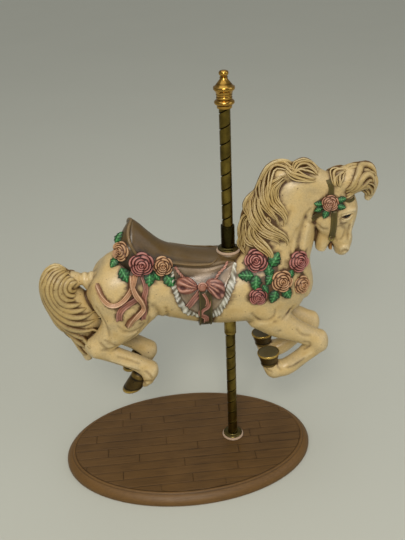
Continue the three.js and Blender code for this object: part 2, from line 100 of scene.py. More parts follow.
CREST = [
    (129, 284, 5, 7), (117, 290, 7, 9.5), (104, 291, 7.5, 10), (92, 291, 8, 11), (85, 282, 8.5, 11.5),
    (77, 269, 8.5, 11.5), (70, 256, 8.5, 11.5), (66, 238, 8, 11), (64, 223, 7, 9.5),
]
FORELOCK = [
    (133, 280, 9, 11), (145, 281.5, 11.5, 13), (157, 283, 11.2, 12.5), (165.5, 281.5, 9.4, 10.5),
    (171, 276.5, 6, 7.5), (170.5, 268.5, 4.6, 5.4), (169, 262.5, 2.6, 3.4),
]
# The seat: x, height at the rim, height in the middle, half the width
SEAT = [
    (-55, 228, 230, 9), (-49, 235, 241, 15), (-43, 240, 252, 19), (-37, 238, 259, 20.3),
    (-31, 230, 255.3, 20.5), (-24, 225.5, 247.6, 20.3), (-14, 224.5, 237.6, 19.8), (-5, 224.2, 232, 19.4),
    (3, 222.4, 229.6, 19.2), (14, 220.2, 226, 18.8), (28, 219.2, 223, 18), (38, 220.5, 222.6, 16.5),
    (48, 218.5, 221.3, 14), (57, 213, 216, 9),
]


# ---- Shapes as arrays ----

def smooth(rows, count):
    """Points along a Catmull-Rom curve through the rows, evenly spread over the rows' numbers."""
    rows = np.asarray(rows, float)
    spans = len(rows) - 1
    t = np.linspace(0, spans, count)
    i = np.minimum(t.astype(int), spans - 1)
    u = (t - i)[:, None]
    padded = np.vstack([rows[:1], rows, rows[-1:]])
    a, b, c, d = (padded[i + k] for k in range(4))
    return 0.5 * (2 * b + (c - a) * u + (2 * a - 5 * b + 4 * c - d) * u**2 + (3 * b - a - 3 * c + d) * u**3)


def unit(vectors):
    """The vectors at length one."""
    return vectors / np.maximum(np.linalg.norm(vectors, axis=-1, keepdims=True), 1e-9)


def even(route, count):
    """The same number of coordinates at evenly spaced distances along a smooth curve through the route."""
    fine = smooth(route, 12 * len(route))
    run = np.concatenate([[0], np.cumsum(np.linalg.norm(np.diff(fine, axis=0), axis=1))])
    at = np.linspace(0, run[-1], count)
    return np.stack([np.interp(at, run, fine[:, k]) for k in range(fine.shape[1])], 1)


class Shell:
    """A closed surface: points, four-sided and three-sided faces that point outwards, its paint, and how far
    the glaze soaks in at each point beyond what the hollows round it would hold."""

    def __init__(self, points, quads, tris, paint, soak=0.0):
        self.points = np.asarray(points, float)
        self.quads = np.asarray(quads, int).reshape(-1, 4)
        self.tris = np.asarray(tris, int).reshape(-1, 3)
        self.paint = paint
        self.soak = np.broadcast_to(np.asarray(soak, float), len(self.points))
        corners = np.vstack([self.quads[:, :3], self.quads[:, [0, 2, 3]], self.tris])
        a, b, c = (self.points[corners[:, k]] for k in range(3))
        if np.einsum("ij,ij->i", a, np.cross(b, c)).sum() < 0:
            self.quads = self.quads[:, ::-1]
            self.tris = self.tris[:, ::-1]


def sweep(rings, paint, soak=0.0):
    """Rings of points joined one after another, each end closed by a fan to the middle of its ring."""
    rings = np.asarray(rings, float)
    n, k = rings.shape[:2]
    soak = np.append(np.broadcast_to(soak, (n, k)), [0, 0])
    index = np.arange(n * k).reshape(n, k)
    a, b = index[:-1], index[1:]
    quads = np.stack([a, np.roll(a, -1, 1), np.roll(b, -1, 1), b], -1)
    first, last = index[0], index[-1]
    tris = np.vstack([
        np.stack([np.roll(first, -1), first, np.full(k, n * k)], -1),
        np.stack([last, np.roll(last, -1), np.full(k, n * k + 1)], -1),
    ])
    hubs = np.array([rings[0].mean(0), rings[-1].mean(0)])
    return Shell(np.vstack([rings.reshape(-1, 3), hubs]), quads, tris, paint, soak)


def limb(rows, y, paint="ivory", sides=28, count=None):
    """Ellipses square to a centre line in an XZ plane, with a rounded end at each side."""
    rows = smooth(rows, count or 5 * len(rows))
    along = unit(np.gradient(rows[:, :2], axis=0))
    caps = np.radians([80, 60, 40, 20])
    reach = np.minimum(rows[:, 2], rows[:, 3])[[0, -1]] * 0.62
    ends = []
    for end, sign, tilts in ((0, -1, caps), (-1, 1, caps[::-1])):
        ends.append(np.column_stack([
            rows[end, :2] + sign * reach[end] * np.sin(tilts)[:, None] * along[end],
            rows[end, 2:] * np.cos(tilts)[:, None],
        ]))
    rows = np.vstack([ends[0], rows, ends[1]])
    along = np.vstack([np.repeat(along[:1], 4, 0), along, np.repeat(along[-1:], 4, 0)])
    angle = np.linspace(0, 2 * np.pi, sides, endpoint=False)
    out = rows[:, 2:3] * np.cos(angle)
    across = y + rows[:, 3:4] * np.sin(angle)
    x = rows[:, 0:1] - along[:, 1:2] * out
    z = rows[:, 1:2] + along[:, 0:1] * out
    return sweep(np.stack([x, across, z], -1), paint)


# ---- The cast body as distances on a grid of cells ----
CELL = 1.0
FIRST = np.floor(np.array([-130, -44, 84]) / CELL).astype(int)
CELLS = np.ceil(np.array([308, 88, 222]) / CELL).astype(int)
AXES = [(FIRST[k] + np.arange(CELLS[k])) * CELL for k in range(3)]
BAND = 8
# A distance from any groove at which no glaze settles
CLEAR = 9.0
GRID = openvdb.createLinearTransform(voxelSize=CELL)


def distances(shells):
    """Signed distance to closed shells on the grid, below nothing inside, flat beyond a narrow band."""
    start = np.cumsum([0] + [len(s.points) for s in shells])
    points = np.vstack([s.points for s in shells]).astype(np.float32)
    quads = np.vstack([s.quads + at for s, at in zip(shells, start)]).astype(np.uint32)
    tris = np.vstack([s.tris + at for s, at in zip(shells, start)]).astype(np.uint32)
    grid = openvdb.FloatGrid.createLevelSetFromPolygons(
        points, triangles=tris, quads=quads, transform=GRID, halfWidth=BAND
    )
    field = np.empty(CELLS, np.float32)
    grid.copyToArray(field, ijk=tuple(int(v) for v in FIRST))
    return field


def joined(a, b, blend):
    """The smaller of two distances, rounded over where they are within blend of each other."""
    near = np.maximum(blend - np.abs(a - b), 0)
    return np.minimum(a, b) - near * near / (4 * blend)


def window(points, reach):
    """The cells within reach of the points: their slices, and their coordinates ready to broadcast."""
    points = np.asarray(points, float)
    low, high = points.min(0) - reach, points.max(0) + reach
    cut = tuple(slice(*np.searchsorted(AXES[k], [low[k], high[k]])) for k in range(3))
    return cut, np.ix_(*(AXES[k][cut[k]] for k in range(3)))


def rope(spots, points, radii):
    """Distance to round-ended cones strung along points."""
    best = None
    for a, b, ra, rb in zip(points[:-1], points[1:], radii[:-1], radii[1:]):
        a, b = np.asarray(a, float), np.asarray(b, float)
        run = b - a
        t = sum((spots[k] - a[k]) * run[k] for k in range(3)) / (run @ run)
        t = np.clip(t, 0, 1)
        away = np.sqrt(sum((spots[k] - a[k] - t * run[k]) ** 2 for k in range(3))) - (ra + (rb - ra) * t)
        best = away if best is None else np.minimum(best, away)
    return best


def pad(field, centre, radii, lean=0.0, blend=4.0, cut=False):
    """Adds or cuts an ellipsoid, leaned about Y by degrees, with a rounded join."""
    centre = np.asarray(centre, float)
    part, (x, y, z) = window([centre], max(radii) + blend)
    turn = np.radians(lean)
    dx, dz = x - centre[0], z - centre[2]
    p = [dx * np.cos(turn) + dz * np.sin(turn), y - centre[1], dz * np.cos(turn) - dx * np.sin(turn)]
    k0 = np.sqrt(sum((p[k] / radii[k]) ** 2 for k in range(3)))
    k1 = np.sqrt(sum((p[k] / radii[k] ** 2) ** 2 for k in range(3)))
    away = k0 * (k0 - 1) / np.maximum(k1, TINY)
    field[part] = -joined(-field[part], away, blend) if cut else joined(field[part], away, blend)


def cord(field, points, radii, blend=2.0, cut=False):
    """Adds a round ridge along points, or cuts a round groove."""
    part, spots = window(points, max(radii) + blend)
    away = rope(spots, points, radii)
    field[part] = -joined(-field[part], away, blend) if cut else joined(field[part], away, blend)


def blurred(field, cells):
    """The field averaged by a bell curve with this spread, along each axis in turn."""
    half = int(np.ceil(2.5 * cells))
    weights = np.exp(-0.5 * (np.arange(-half, half + 1) / cells) ** 2)
    weights /= weights.sum()
    for axis in range(field.ndim):
        total = np.zeros_like(field)
        for shift, weight in zip(range(-half, half + 1), weights):
            total += weight * np.roll(field, shift, axis)
        field = total
    return field


def sample(field, points, axes=None):
    """The field's value at points, straight between cells."""
    axes = axes or AXES
    at = [np.clip((points[:, k] - axes[k][0]) / CELL, 0, len(axes[k]) - 1.001) for k in range(len(axes))]
    whole = [a.astype(int) for a in at]
    part = [a - w for a, w in zip(at, whole)]
    total = 0
    for corner in np.ndindex(*(2,) * len(axes)):
        weight = 1
        for k, c in enumerate(corner):
            weight = weight * (part[k] if c else 1 - part[k])
        total = total + weight * field[tuple(w + c for w, c in zip(whole, corner))]
    return total


class Skin:
    """How far the body reaches on each side of the middle plane, for laying relief on it."""

    def __init__(self, field, soften=1.2):
        self.depth = {}
        inside = field < 0
        covered = inside.any(1)
        for side in (NEAR, FAR):
            cells = inside if side == NEAR else inside[:, ::-1]
            values = field if side == NEAR else field[:, ::-1]
            first = np.maximum(cells.argmax(1), 1)
            here = np.take_along_axis(values, first[:, None], 1)[:, 0]
            before = np.take_along_axis(values, first[:, None] - 1, 1)[:, 0]
            step = first - 1 + before / np.maximum(before - here, TINY)
            y = AXES[1][0] + step * CELL if side == NEAR else AXES[1][-1] - step * CELL
            depth = np.where(covered, np.maximum(side * y, 0), 0).astype(np.float32)
            self.depth[side] = blurred(depth, soften / CELL)

    def at(self, spots, side, reach=2.5, steep=1.7):
        """Points on the body at x and z, and the directions straight out of it there."""
        shape = np.shape(spots)[:-1] + (3,)
        spots = np.asarray(spots, float).reshape(-1, 2)
        axes = [AXES[0], AXES[2]]
        field = self.depth[side]
        step = np.array([[reach, 0], [0, reach]])
        slope = [
            np.clip(
                (sample(field, spots + s, axes) - sample(field, spots - s, axes)) / (2 * reach), -steep, steep
            )
            for s in step
        ]
        y = side * sample(field, spots, axes)
        points = np.stack([spots[:, 0], y, spots[:, 1]], 1)
        normals = unit(np.stack([-slope[0], np.full(len(spots), float(side)), -slope[1]], 1))
        return points.reshape(shape), normals.reshape(shape)


def crease(field, stain, skin, route, side, size, blend=1.6, raised=False, depth=0.35):
    """Cuts a groove, or raises a welt, that follows the skin along a side-view route and fades at both ends.
    The stain field keeps the distance to the nearest groove, for the glaze that settles there."""
    spots = even(route, 4 + 3 * len(route))
    points, normals = skin.at(spots, side, 1.5)
    fade = size * np.sin(np.pi * np.linspace(0.14, 0.86, len(points))) ** 0.7
    points = points + normals * (-depth * size if raised else depth * size)
    cord(field, points, list(fade), blend, not raised)
    if not raised:
        cord(stain, points, list(0.5 * fade), 2.0)


def body_field():
    """Torso, neck, head and legs run together, with the muscles, eyes, nostrils and mouth worked in, and the
    distance to the nearest groove."""
    y = LEG_OFFSET
    field = distances([limb(TORSO, 0, sides=40)])
    field = joined(field, distances([limb(NECK, 0)]), 9)
    for side in (NEAR, FAR):
        field = joined(field, distances([limb(THIGH, side * y * 0.95)]), 7)
        field = joined(field, distances([limb(FOREARM, side * y * 0.97)]), 6)
    cannons = [limb(rows, side * y) for rows in (HIND_CANNON, SHIN) for side in (NEAR, FAR)]
    field = joined(field, distances(cannons), 3)
    field = joined(field, distances([limb(DOCK, 0)]), 3)
    head = distances([limb(HEAD, 0)])
    head = joined(head, distances([limb(UPPER_LIP, 0)]), 3)
    head = joined(head, distances([limb(CHIN, 0)]), 1.5)
    field = joined(field, head, 5)
    for side in (NEAR, FAR):
        shape_trunk(field, side)
        shape_legs(field, side)
        shape_head(field, side)
    skin = Skin(field, 0.8)
    stain = np.full(CELLS, CLEAR, np.float32)
    for side in (NEAR, FAR):
        for route, size, blend in CREASES:
            crease(field, stain, skin, route, side, size, blend)
        for route, size in WELTS:
            crease(field, stain, skin, route, side, size, 2.0, True)
        for x, z in PITS:
            crease(field, stain, skin, [(x - 1, z - 0.3), (x, z), (x + 1, z + 0.3)], side, 0.75, 0.8)
    return field, stain


# Grooves drawn on the skin: a side-view route, its radius and how softly its lips are rounded
CREASES = [
    # Haunch, stifle and hock
    ([(-73.3, 189), (-69.6, 178), (-66, 167), (-65.2, 160), (-65.4, 153)], 1.7, 3.0),
    ([(-56, 172), (-50, 164.5), (-42, 163.5), (-34, 167)], 1.3, 2.6),
    ([(-33, 170), (-38, 161), (-47, 153.5), (-57, 148.5), (-66, 146), (-73, 146)], 1.2, 2.0),
    ([(-74, 154), (-70, 149), (-68, 144)], 0.9, 1.5),
    ([(-69, 157), (-63, 152), (-60, 150)], 0.8, 1.5),
    ([(-60, 136), (-50, 131), (-41, 126)], 0.9, 1.8),
    ([(-63, 128), (-52, 123), (-42, 118)], 0.8, 1.8),
    ([(-37, 119), (-33, 115.5), (-30.5, 110)], 0.8, 1.2),
    ([(-39, 104.5), (-35.5, 106.5), (-31.5, 105.5)], 0.8, 1.2),
    ([(-40.5, 107.5), (-38, 103.5), (-38.5, 99.5)], 0.7, 1.0),
    # Flank folds
    ([(-24, 189), (-20, 181), (-20, 171), (-24, 163)], 1.5, 4.0),
    ([(-13, 185), (-12, 175), (-15, 166)], 1.0, 3.0),
    ([(-31, 184), (-28, 176), (-30, 168)], 0.9, 2.4),
    # Shoulder, elbow and forearm
    ([(62, 174), (67.8, 165.6), (75, 164), (82, 167.6), (83.6, 175)], 1.4, 2.6),
    ([(101, 173), (97.4, 167), (90.3, 163)], 1.3, 2.4),
    ([(111, 135), (116, 133.8), (116.8, 129), (112.5, 124)], 1.0, 1.5),
    ([(104, 150), (109, 144), (117, 141)], 0.8, 2.0),
    ([(112, 117), (103, 110), (96, 107)], 0.9, 1.8),
    ([(77.5, 112.5), (80, 110), (82.5, 109)], 0.6, 0.9),
    ([(75, 109), (78, 106), (81, 105)], 0.6, 0.9),
    ([(88, 113), (87, 109.5), (89.5, 106)], 0.7, 1.2),
    # Neck furrows and the throat
    ([(116, 262), (112.5, 257), (115.5, 250), (121, 247)], 1.2, 2.0),
    ([(112, 254), (107, 240), (104.5, 224)], 1.6, 5.0),
    ([(104, 246), (99, 234), (98, 224)], 1.1, 4.0),
    # Jaw, face wrinkles and mouth
    ([(123.3, 246.4), (127, 242.5), (131.5, 242.4)], 0.9, 1.4),
    ([(143, 252.5), (141.8, 249.3), (144.4, 246.3), (148.5, 246.6)], 0.8, 1.0),
    ([(140.5, 243.8), (144, 243.8), (147.2, 239.7), (146.8, 235), (144.5, 230)], 0.9, 1.3),
    ([(137, 240), (137.5, 235), (140, 231), (141, 228)], 0.8, 1.4),
    ([(151.5, 244), (150.5, 237), (151, 229)], 0.8, 1.6),
    ([(145.8, 217.2), (148.8, 219.4), (151.6, 217.6)], 1.0, 0.8),
]
# Raised folds: the eyelids, the face bone, tendons and the crest of the hock
WELTS = [
    ([(141, 256.4), (147, 257), (154, 257.6)], 1.5),
    ([(142, 248.2), (147.8, 248.6), (152.6, 252)], 1.1),
    ([(154, 247), (153, 238), (153.4, 229)], 1.3),
    ([(-66, 133), (-54, 127), (-43, 121.5)], 1.3),
    ([(118, 122), (107, 113.5), (98, 107.5)], 1.3),
    ([(145, 221), (148.6, 222.4), (152, 220.4)], 1.2),
]
PITS = [
    (-50, 165.5), (-36, 172), (-37, 177), (87.4, 166), (83, 162.6), (87.5, 152), (109.4, 165.5),
    (91.5, 114.4),
]


def shape_trunk(field, side):
    """Shoulder, haunch and flank muscles, and the hollows between them."""
    s = side
    pad(field, (-56, s * 15, 193), (20, 14.5, 25), 20, 6)
    pad(field, (80, s * 16, 190), (17, 14, 26), -18, 6)
    pad(field, (60, s * 17, 176), (20, 13, 13), 10, 6)
    pad(field, (-58, s * 20, 172), (10, 9, 13), 10, 4)
    pad(field, (72, s * 21, 173), (11, 9.5, 9), 0, 3)
    cord(field, [(-30, s * 30, 186), (-24, s * 31, 180), (-22, s * 30, 170)], [2.4, 3, 2.4], 4, True)
    cord(field, [(113, s * 17, 257), (107, s * 19.5, 238), (105, s * 22, 222)], [2.0, 3.0, 2.2], 5, True)


def shape_legs(field, side):
    """Knees, hocks, fetlocks and the pasterns that turn back to the hooves."""
    y = side * LEG_OFFSET
    pad(field, (-78, y, 144), (10, 9.6, 9), -30, 3)
    pad(field, (-83, y, 146), (5, 5.4, 5.5), -30, 2.5)
    pad(field, (127, y, 130), (8.6, 9.4, 9.4), 0, 3)
    pad(field, (-33, y, 113), (8, 8.8, 9), 0, 3)
    pad(field, (85, y, 102.5), (7.4, 8.6, 8.4), 0, 3)
    cord(field, [(-33, y, 112), (-35.5, y, 105), (-38, y, 101.5)], [8.2, 7.0, 5.6], 2)
    cord(field, [(84, y, 102), (81.5, y, 107), (80.5, y, 110)], [8.0, 7.6, 7.0], 2)


def shape_head(field, side):
    """Cheek, brow, eye hollow, nostril swelling and the gap of the open mouth."""
    s = side
    pad(field, (132.5, s * 7.2, 249), (10.5, 6.6, 14), 8, 4)
    pad(field, (120.5, s * 3, 269), (11, 9, 12), 0, 5)
    cord(field, [(143, s * 12.2, 259), (149, s * 12, 258), (155, s * 9.5, 257.4)], [1.6, 2.0, 1.4], 3)
    pad(field, (149.4, s * 14.0, 252.6), (6.0, 3.6, 3.6), 25, 2.2, True)
    pad(field, (149, s * 8.0, 219), (4.4, 2.8, 4.0), 20, 2.5)
    corner = [(136.8, s * 9.5, 227), (137.4, s * 7.5, 221), (137.6, s * 5, 212)]
    cord(field, corner, [0.9, 2.8, 4.6], 1.2, True)
    cord(field, [(136.8, 0, 225.5), (137.4, 0, 220), (137.6, 0, 211)], [0.8, 2.6, 4.6], 1.2, True)


# ---- Relief laid on the body ----

def strand(points, normals, width, rise, sink=2.4, paint="hair", soak=0.95):
    """A crowned ridge: half an ellipse stood on the skin along a route, with its flat underside sunk in."""
    ahead = unit(np.gradient(points, axis=0))
    aside = unit(np.cross(ahead, normals))
    angle = np.linspace(0, np.pi, 6)
    across = np.concatenate([np.cos(angle), [-0.55, 0.55]])
    up = np.sin(angle) ** 0.85
    width = np.broadcast_to(width, len(points))[:, None, None]
    rise = np.broadcast_to(rise, len(points))[:, None]
    sunk = np.repeat(np.broadcast_to(-np.asarray(sink, float), len(points))[:, None], 2, 1)
    height = np.concatenate([rise * up, sunk], 1)[:, :, None]
    rings = points[:, None] + aside[:, None] * across[:, None] * width / 2 + normals[:, None] * height
    return sweep(rings, paint, 0.16 + (soak - 0.16) * np.abs(np.append(across[:-2], [1, 1])) ** 2.4)


def root(points, most):
    """How deep a strand may be sunk here without coming out on the far side."""
    return np.minimum(most, 0.7 * np.abs(points[:, 1]) + 0.3)


def lock(skin, route, side, strands=4, gap=2.7, rise=1.9, lift=0.0, ends=(0.6, 0.3), count=20):
    """Strands of mixed widths side by side along a side-view route, drawn together and sunk at both ends."""
    made = []
    shares = np.array([1.0, 1.35, 0.75, 1.2, 0.85, 1.1, 0.7, 1.2, 0.9, 1.1])[:strands]
    shares = shares * strands / shares.sum()
    places = np.cumsum(shares) - shares / 2 - strands / 2
    fine = even(route, 60)
    ahead = unit(np.gradient(fine, axis=0))
    aside = np.stack([-ahead[:, 1], ahead[:, 0]], 1)
    t = np.linspace(0, 1, 60)
    full = np.sin(np.pi * np.clip(0.12 + 0.76 * t, 0, 1)) ** 0.7
    spread = full * np.where(t < 0.5, ends[0] + (1 - ends[0]) * 2 * t, ends[1] + (1 - ends[1]) * 2 * (1 - t))
    for j, (place, share) in enumerate(zip(places, shares)):
        sway = 0.28 * gap * np.sin(2 * np.pi * (1.3 * t + 0.37 * j)) * np.sin(np.pi * t)
        spots = fine + aside * (place * gap * spread + sway)[:, None]
        start, stop = 2 * (j % 3), 60 - int(60 * (0.035 * abs(place) + 0.03 * (j % 2)))
        spots = even(spots[start:stop:3], count)
        points, normals = skin.at(spots, side)
        s = np.linspace(0, 1, count)
        taper = np.sin(np.pi * np.clip(0.06 + 0.9 * s, 0, 1)) ** 0.6
        swell = np.interp(s, t, 0.7 + 0.3 * full)
        high = rise * (0.8 + 0.25 * share) * taper
        drop = 1.1 * (np.clip(1 - s / 0.14, 0, 1) ** 2 + np.clip((s - 0.9) / 0.1, 0, 1) ** 2)
        bulge = lift * np.sin(np.pi * np.clip(0.12 + 0.82 * s, 0, 1)) - drop
        made.append(strand(
            points + normals * bulge[:, None], normals, gap * 1.3 * share * taper * swell, high,
            root(points, 2.2 + lift),
        ))
    return made


def ridge(route, width, rise, count=26, sink=2.5, y=0.0, inward=0.0):
    """A strand along the outline, or y beside it and moved inward, its ends sunk in. The route runs clockwise
    as seen from the decorated side."""
    spots = even(route, count)
    ahead = unit(np.gradient(spots, axis=0))
    out = np.stack([-ahead[:, 1], np.zeros(count), ahead[:, 0]], 1)
    t = np.linspace(0, 1, count)[:, None]
    drop = inward + 1.6 * np.clip(1 - t / 0.1, 0, 1) + 1.8 * np.clip((t - 0.9) / 0.1, 0, 1)
    beside = y * np.sin(np.pi * (0.08 + 0.86 * t)) ** 0.7
    points = np.stack([spots[:, 0], beside[:, 0], spots[:, 1]], 1) - out * drop
    out = unit(out + np.array([0, 0.09, 0]) * beside)
    taper = np.sin(np.pi * np.linspace(0.06, 0.95, count)) ** 0.5
    return strand(points, out, width * taper, rise * taper, sink, soak=0.25)


MANE = [
    # route, strands, gap, lift
    ([(121, 287), (113.3, 288.5), (105.5, 291), (99.2, 294), (94.5, 297.5), (88, 298.5)], 3, 2.6, 0.2),
    ([(123, 290), (119, 295), (113.5, 298.5), (107, 298.5), (102, 296), (97, 292.5)], 4, 2.5, 0.9),
    ([(105, 290), (100.7, 294), (96.8, 298), (91, 300), (85.5, 299.5), (81.5, 295), (79, 289), (77, 282),
      (76, 275), (77, 269), (80.5, 263.5), (84.5, 258.5), (87.5, 253.5), (86, 249.5), (82.5, 250)], 4,
      2.6, 1.1),
    ([(97, 291.5), (92, 292), (88, 289.3), (83, 285), (81, 278.5), (82.5, 271), (87, 265.5),
      (91.5, 260.3), (93.5, 254.5), (91, 250), (87.5, 250.5)], 3, 2.5, 0.8),
    ([(96, 289), (90, 286.5), (86.5, 281.8), (86, 276), (88, 271), (92, 266.4), (95, 261), (96, 256.5)],
      2, 2.2, 0.3),
    ([(75, 281), (71.5, 275), (69.5, 268), (70, 260.5), (73, 253.5), (78, 248), (84.5, 244.8),
      (91, 241.5), (95, 236.5), (94, 231.5), (90.5, 231.5)], 5, 2.5, 1.2),
    ([(66, 271), (65, 261), (67.5, 253), (72.5, 246.5), (79, 242), (85, 238.8), (88.5, 234.5),
      (87, 231)], 3, 2.4, 0.8),
    ([(71, 278), (66.5, 274), (63.8, 269), (63.5, 262.5), (66, 256.5), (70, 252)], 3, 2.5, 0.9),
    ([(65, 260), (61, 254), (59, 247), (58.5, 239), (58, 231), (59.5, 224)], 3, 2.5, 0.6),
    ([(68, 254), (66, 247), (67, 241), (71, 236), (76, 231.5), (80, 226), (79.5, 219.5), (75, 215.8)], 4,
      2.4, 1.4),
    ([(62.5, 248), (62, 240), (64.5, 235), (70, 231.5), (75, 228)], 3, 2.3, 0.6),
    ([(60, 240), (58, 233), (57.5, 227), (60.5, 221.5)], 3, 2.2, 0.4),
    ([(75, 262), (74.5, 257), (77, 253.5)], 2, 2.0, 0.2),
    ([(79, 259), (80, 254), (83, 251)], 2, 1.9, 0.2),
]
MANE_RIDGE = [
    [(129, 288.5), (124, 292.5), (119, 297), (113, 300), (107, 300.5), (101, 299)],
    [(103, 299.2), (97, 301.5), (91, 302), (85.5, 300.5), (81.5, 296), (79.3, 290), (76.5, 282.5)],
    [(77.5, 284), (73.5, 277.5), (68, 272.8), (63.6, 267.5), (62.2, 260), (63.5, 253), (62, 249)],
    [(63.5, 251), (59.8, 244.5), (57.8, 237), (57, 229), (57.6, 221)],
]
FAR_MANE = [
    ([(121, 288), (113, 292), (105, 293), (98, 296), (90, 296)], 4, 2.9, 0.4),
    ([(104, 292), (96, 294), (90, 290), (88, 282), (91, 274), (95, 266), (93, 258), (88, 257)], 4, 2.9, 1.0),
    ([(96, 297), (86, 295), (81, 287), (79, 277), (82, 268), (87, 260), (88, 252), (84, 247)], 5, 2.8, 1.2),
    ([(80, 286), (74, 276), (71, 265), (74, 254), (80, 246), (83, 238), (80, 232)], 5, 2.8, 1.1),
    ([(70, 272), (65, 262), (64, 251), (68, 242), (72, 234), (71, 226)], 4, 2.8, 0.9),
    ([(64, 252), (60, 243), (60, 233), (62, 224)], 3, 2.6, 0.5),
]
FORELOCK_LOCKS = [
    ([(137, 279), (135.5, 285), (137, 289.5), (142, 291.5), (149, 292.5)], 2, 2.7, 0.2),
    ([(140.4, 279), (140, 284), (142, 288.8), (147, 291.3)], 2, 2.5, 0.2),
    ([(144.5, 274), (150.5, 279.5), (155, 286.5), (161, 291.2), (168, 290.6), (173, 286), (175, 280)], 2,
      4.6, 0.5),
    ([(147.5, 271.5), (154, 276.5), (158.5, 282.5), (163.5, 285.5), (168, 284), (168.5, 280.5),
      (165.5, 279.6)], 2, 4.3, 1.0),
    ([(145.5, 269.8), (152, 272.4), (158, 275.4), (163, 275), (167, 270.5), (169.2, 264)], 2, 3.8, 0.8),
    ([(160, 281.5), (165.5, 279), (169.5, 273.5), (170.4, 265)], 2, 3.2, 0.9),
]
# Strands further apart than this stay as broad as they are drawn; closer ones are split into finer ones
BROAD_LOCK = 3.5
FORELOCK_RIDGE = [
    [(131, 288.2), (138, 289.8), (144.5, 290.6), (150, 293.4), (157, 294.4), (164, 292.3), (170, 288.2)],
    [(166, 291.2), (171.6, 287.2), (175.5, 281.5), (175.8, 276), (173.8, 269.5), (171.3, 262)],
]
# Grooves between the locks of the tail, from the inmost curl outwards
TAIL_ARCS = [
    [(-87, 205.6), (-91.4, 205.6), (-93.8, 203.2), (-92.4, 200.8), (-89, 200.4)],
    [(-88, 208.6), (-93.4, 208.8), (-97.4, 205.6), (-97, 200.8), (-93.4, 197.6), (-88.4, 197)],
    [(-91, 209.6), (-94.5, 211.2), (-98.6, 209.7), (-101.2, 204.8), (-100.1, 198.8), (-96.2, 194.7),
     (-90.8, 193.6)],
    [(-91.4, 211), (-96.4, 213), (-101.6, 210.7), (-105, 204.4), (-104.7, 197.7), (-101, 192.2),
     (-94.8, 190.3), (-88.6, 189.8)],
    [(-92.4, 211.8), (-97.6, 215.2), (-104.3, 213.8), (-108.5, 206.2), (-108.5, 197.4), (-104.5, 189.5),
     (-97.4, 185.1), (-89.4, 184.6), (-82.8, 184.8)],
    [(-93.2, 213), (-98.6, 216.8), (-105.6, 215.8), (-111, 208.4), (-111.7, 197.9), (-107.4, 187.7),
     (-99.4, 180.8), (-89.4, 178.8), (-78, 179.6)],
    [(-94.2, 214), (-99.6, 218.4), (-107.6, 217.6), (-113.8, 210.2), (-115.6, 199.9), (-111.9, 188.3),
     (-104.8, 179.2), (-96.5, 173.8), (-86.3, 171.6), (-72.6, 173)],
    [(-95.6, 215.6), (-101, 219.8), (-109.4, 219), (-116.2, 211.4), (-119, 201.1), (-116.6, 188.3),
     (-110.6, 176.3), (-102.5, 168.5), (-92.5, 165.1), (-82, 164.4), (-72.6, 164.6)],
    [(-98, 217.2), (-104, 220.8), (-112, 218.6), (-118.4, 211.4), (-121.3, 202), (-120, 190),
     (-115.4, 178.4), (-108, 166.8), (-100, 159.8), (-91, 156.4), (-82, 154.4), (-74.5, 155)],
    [(-121.6, 206), (-121.4, 193), (-117.4, 180.7), (-110.8, 167.4), (-102.6, 156.6), (-95.7, 149.6),
     (-87.9, 144.4), (-80.5, 143)],
    [(-118.9, 183), (-112.1, 167.2), (-104.5, 155.3), (-98.2, 146.5), (-92.6, 138), (-85.6, 131.5)],
    [(-112.5, 165), (-103.6, 151), (-97.5, 139.5), (-94.6, 130), (-90.5, 121)],
]
TAIL_RIDGE = [
    (-97, 216.6), (-101, 219.8), (-106, 221.2), (-114, 216.6), (-119.6, 206), (-120.6, 193), (-117, 178),
    (-108.5, 161), (-100, 147), (-95.5, 135), (-91.5, 122),
]


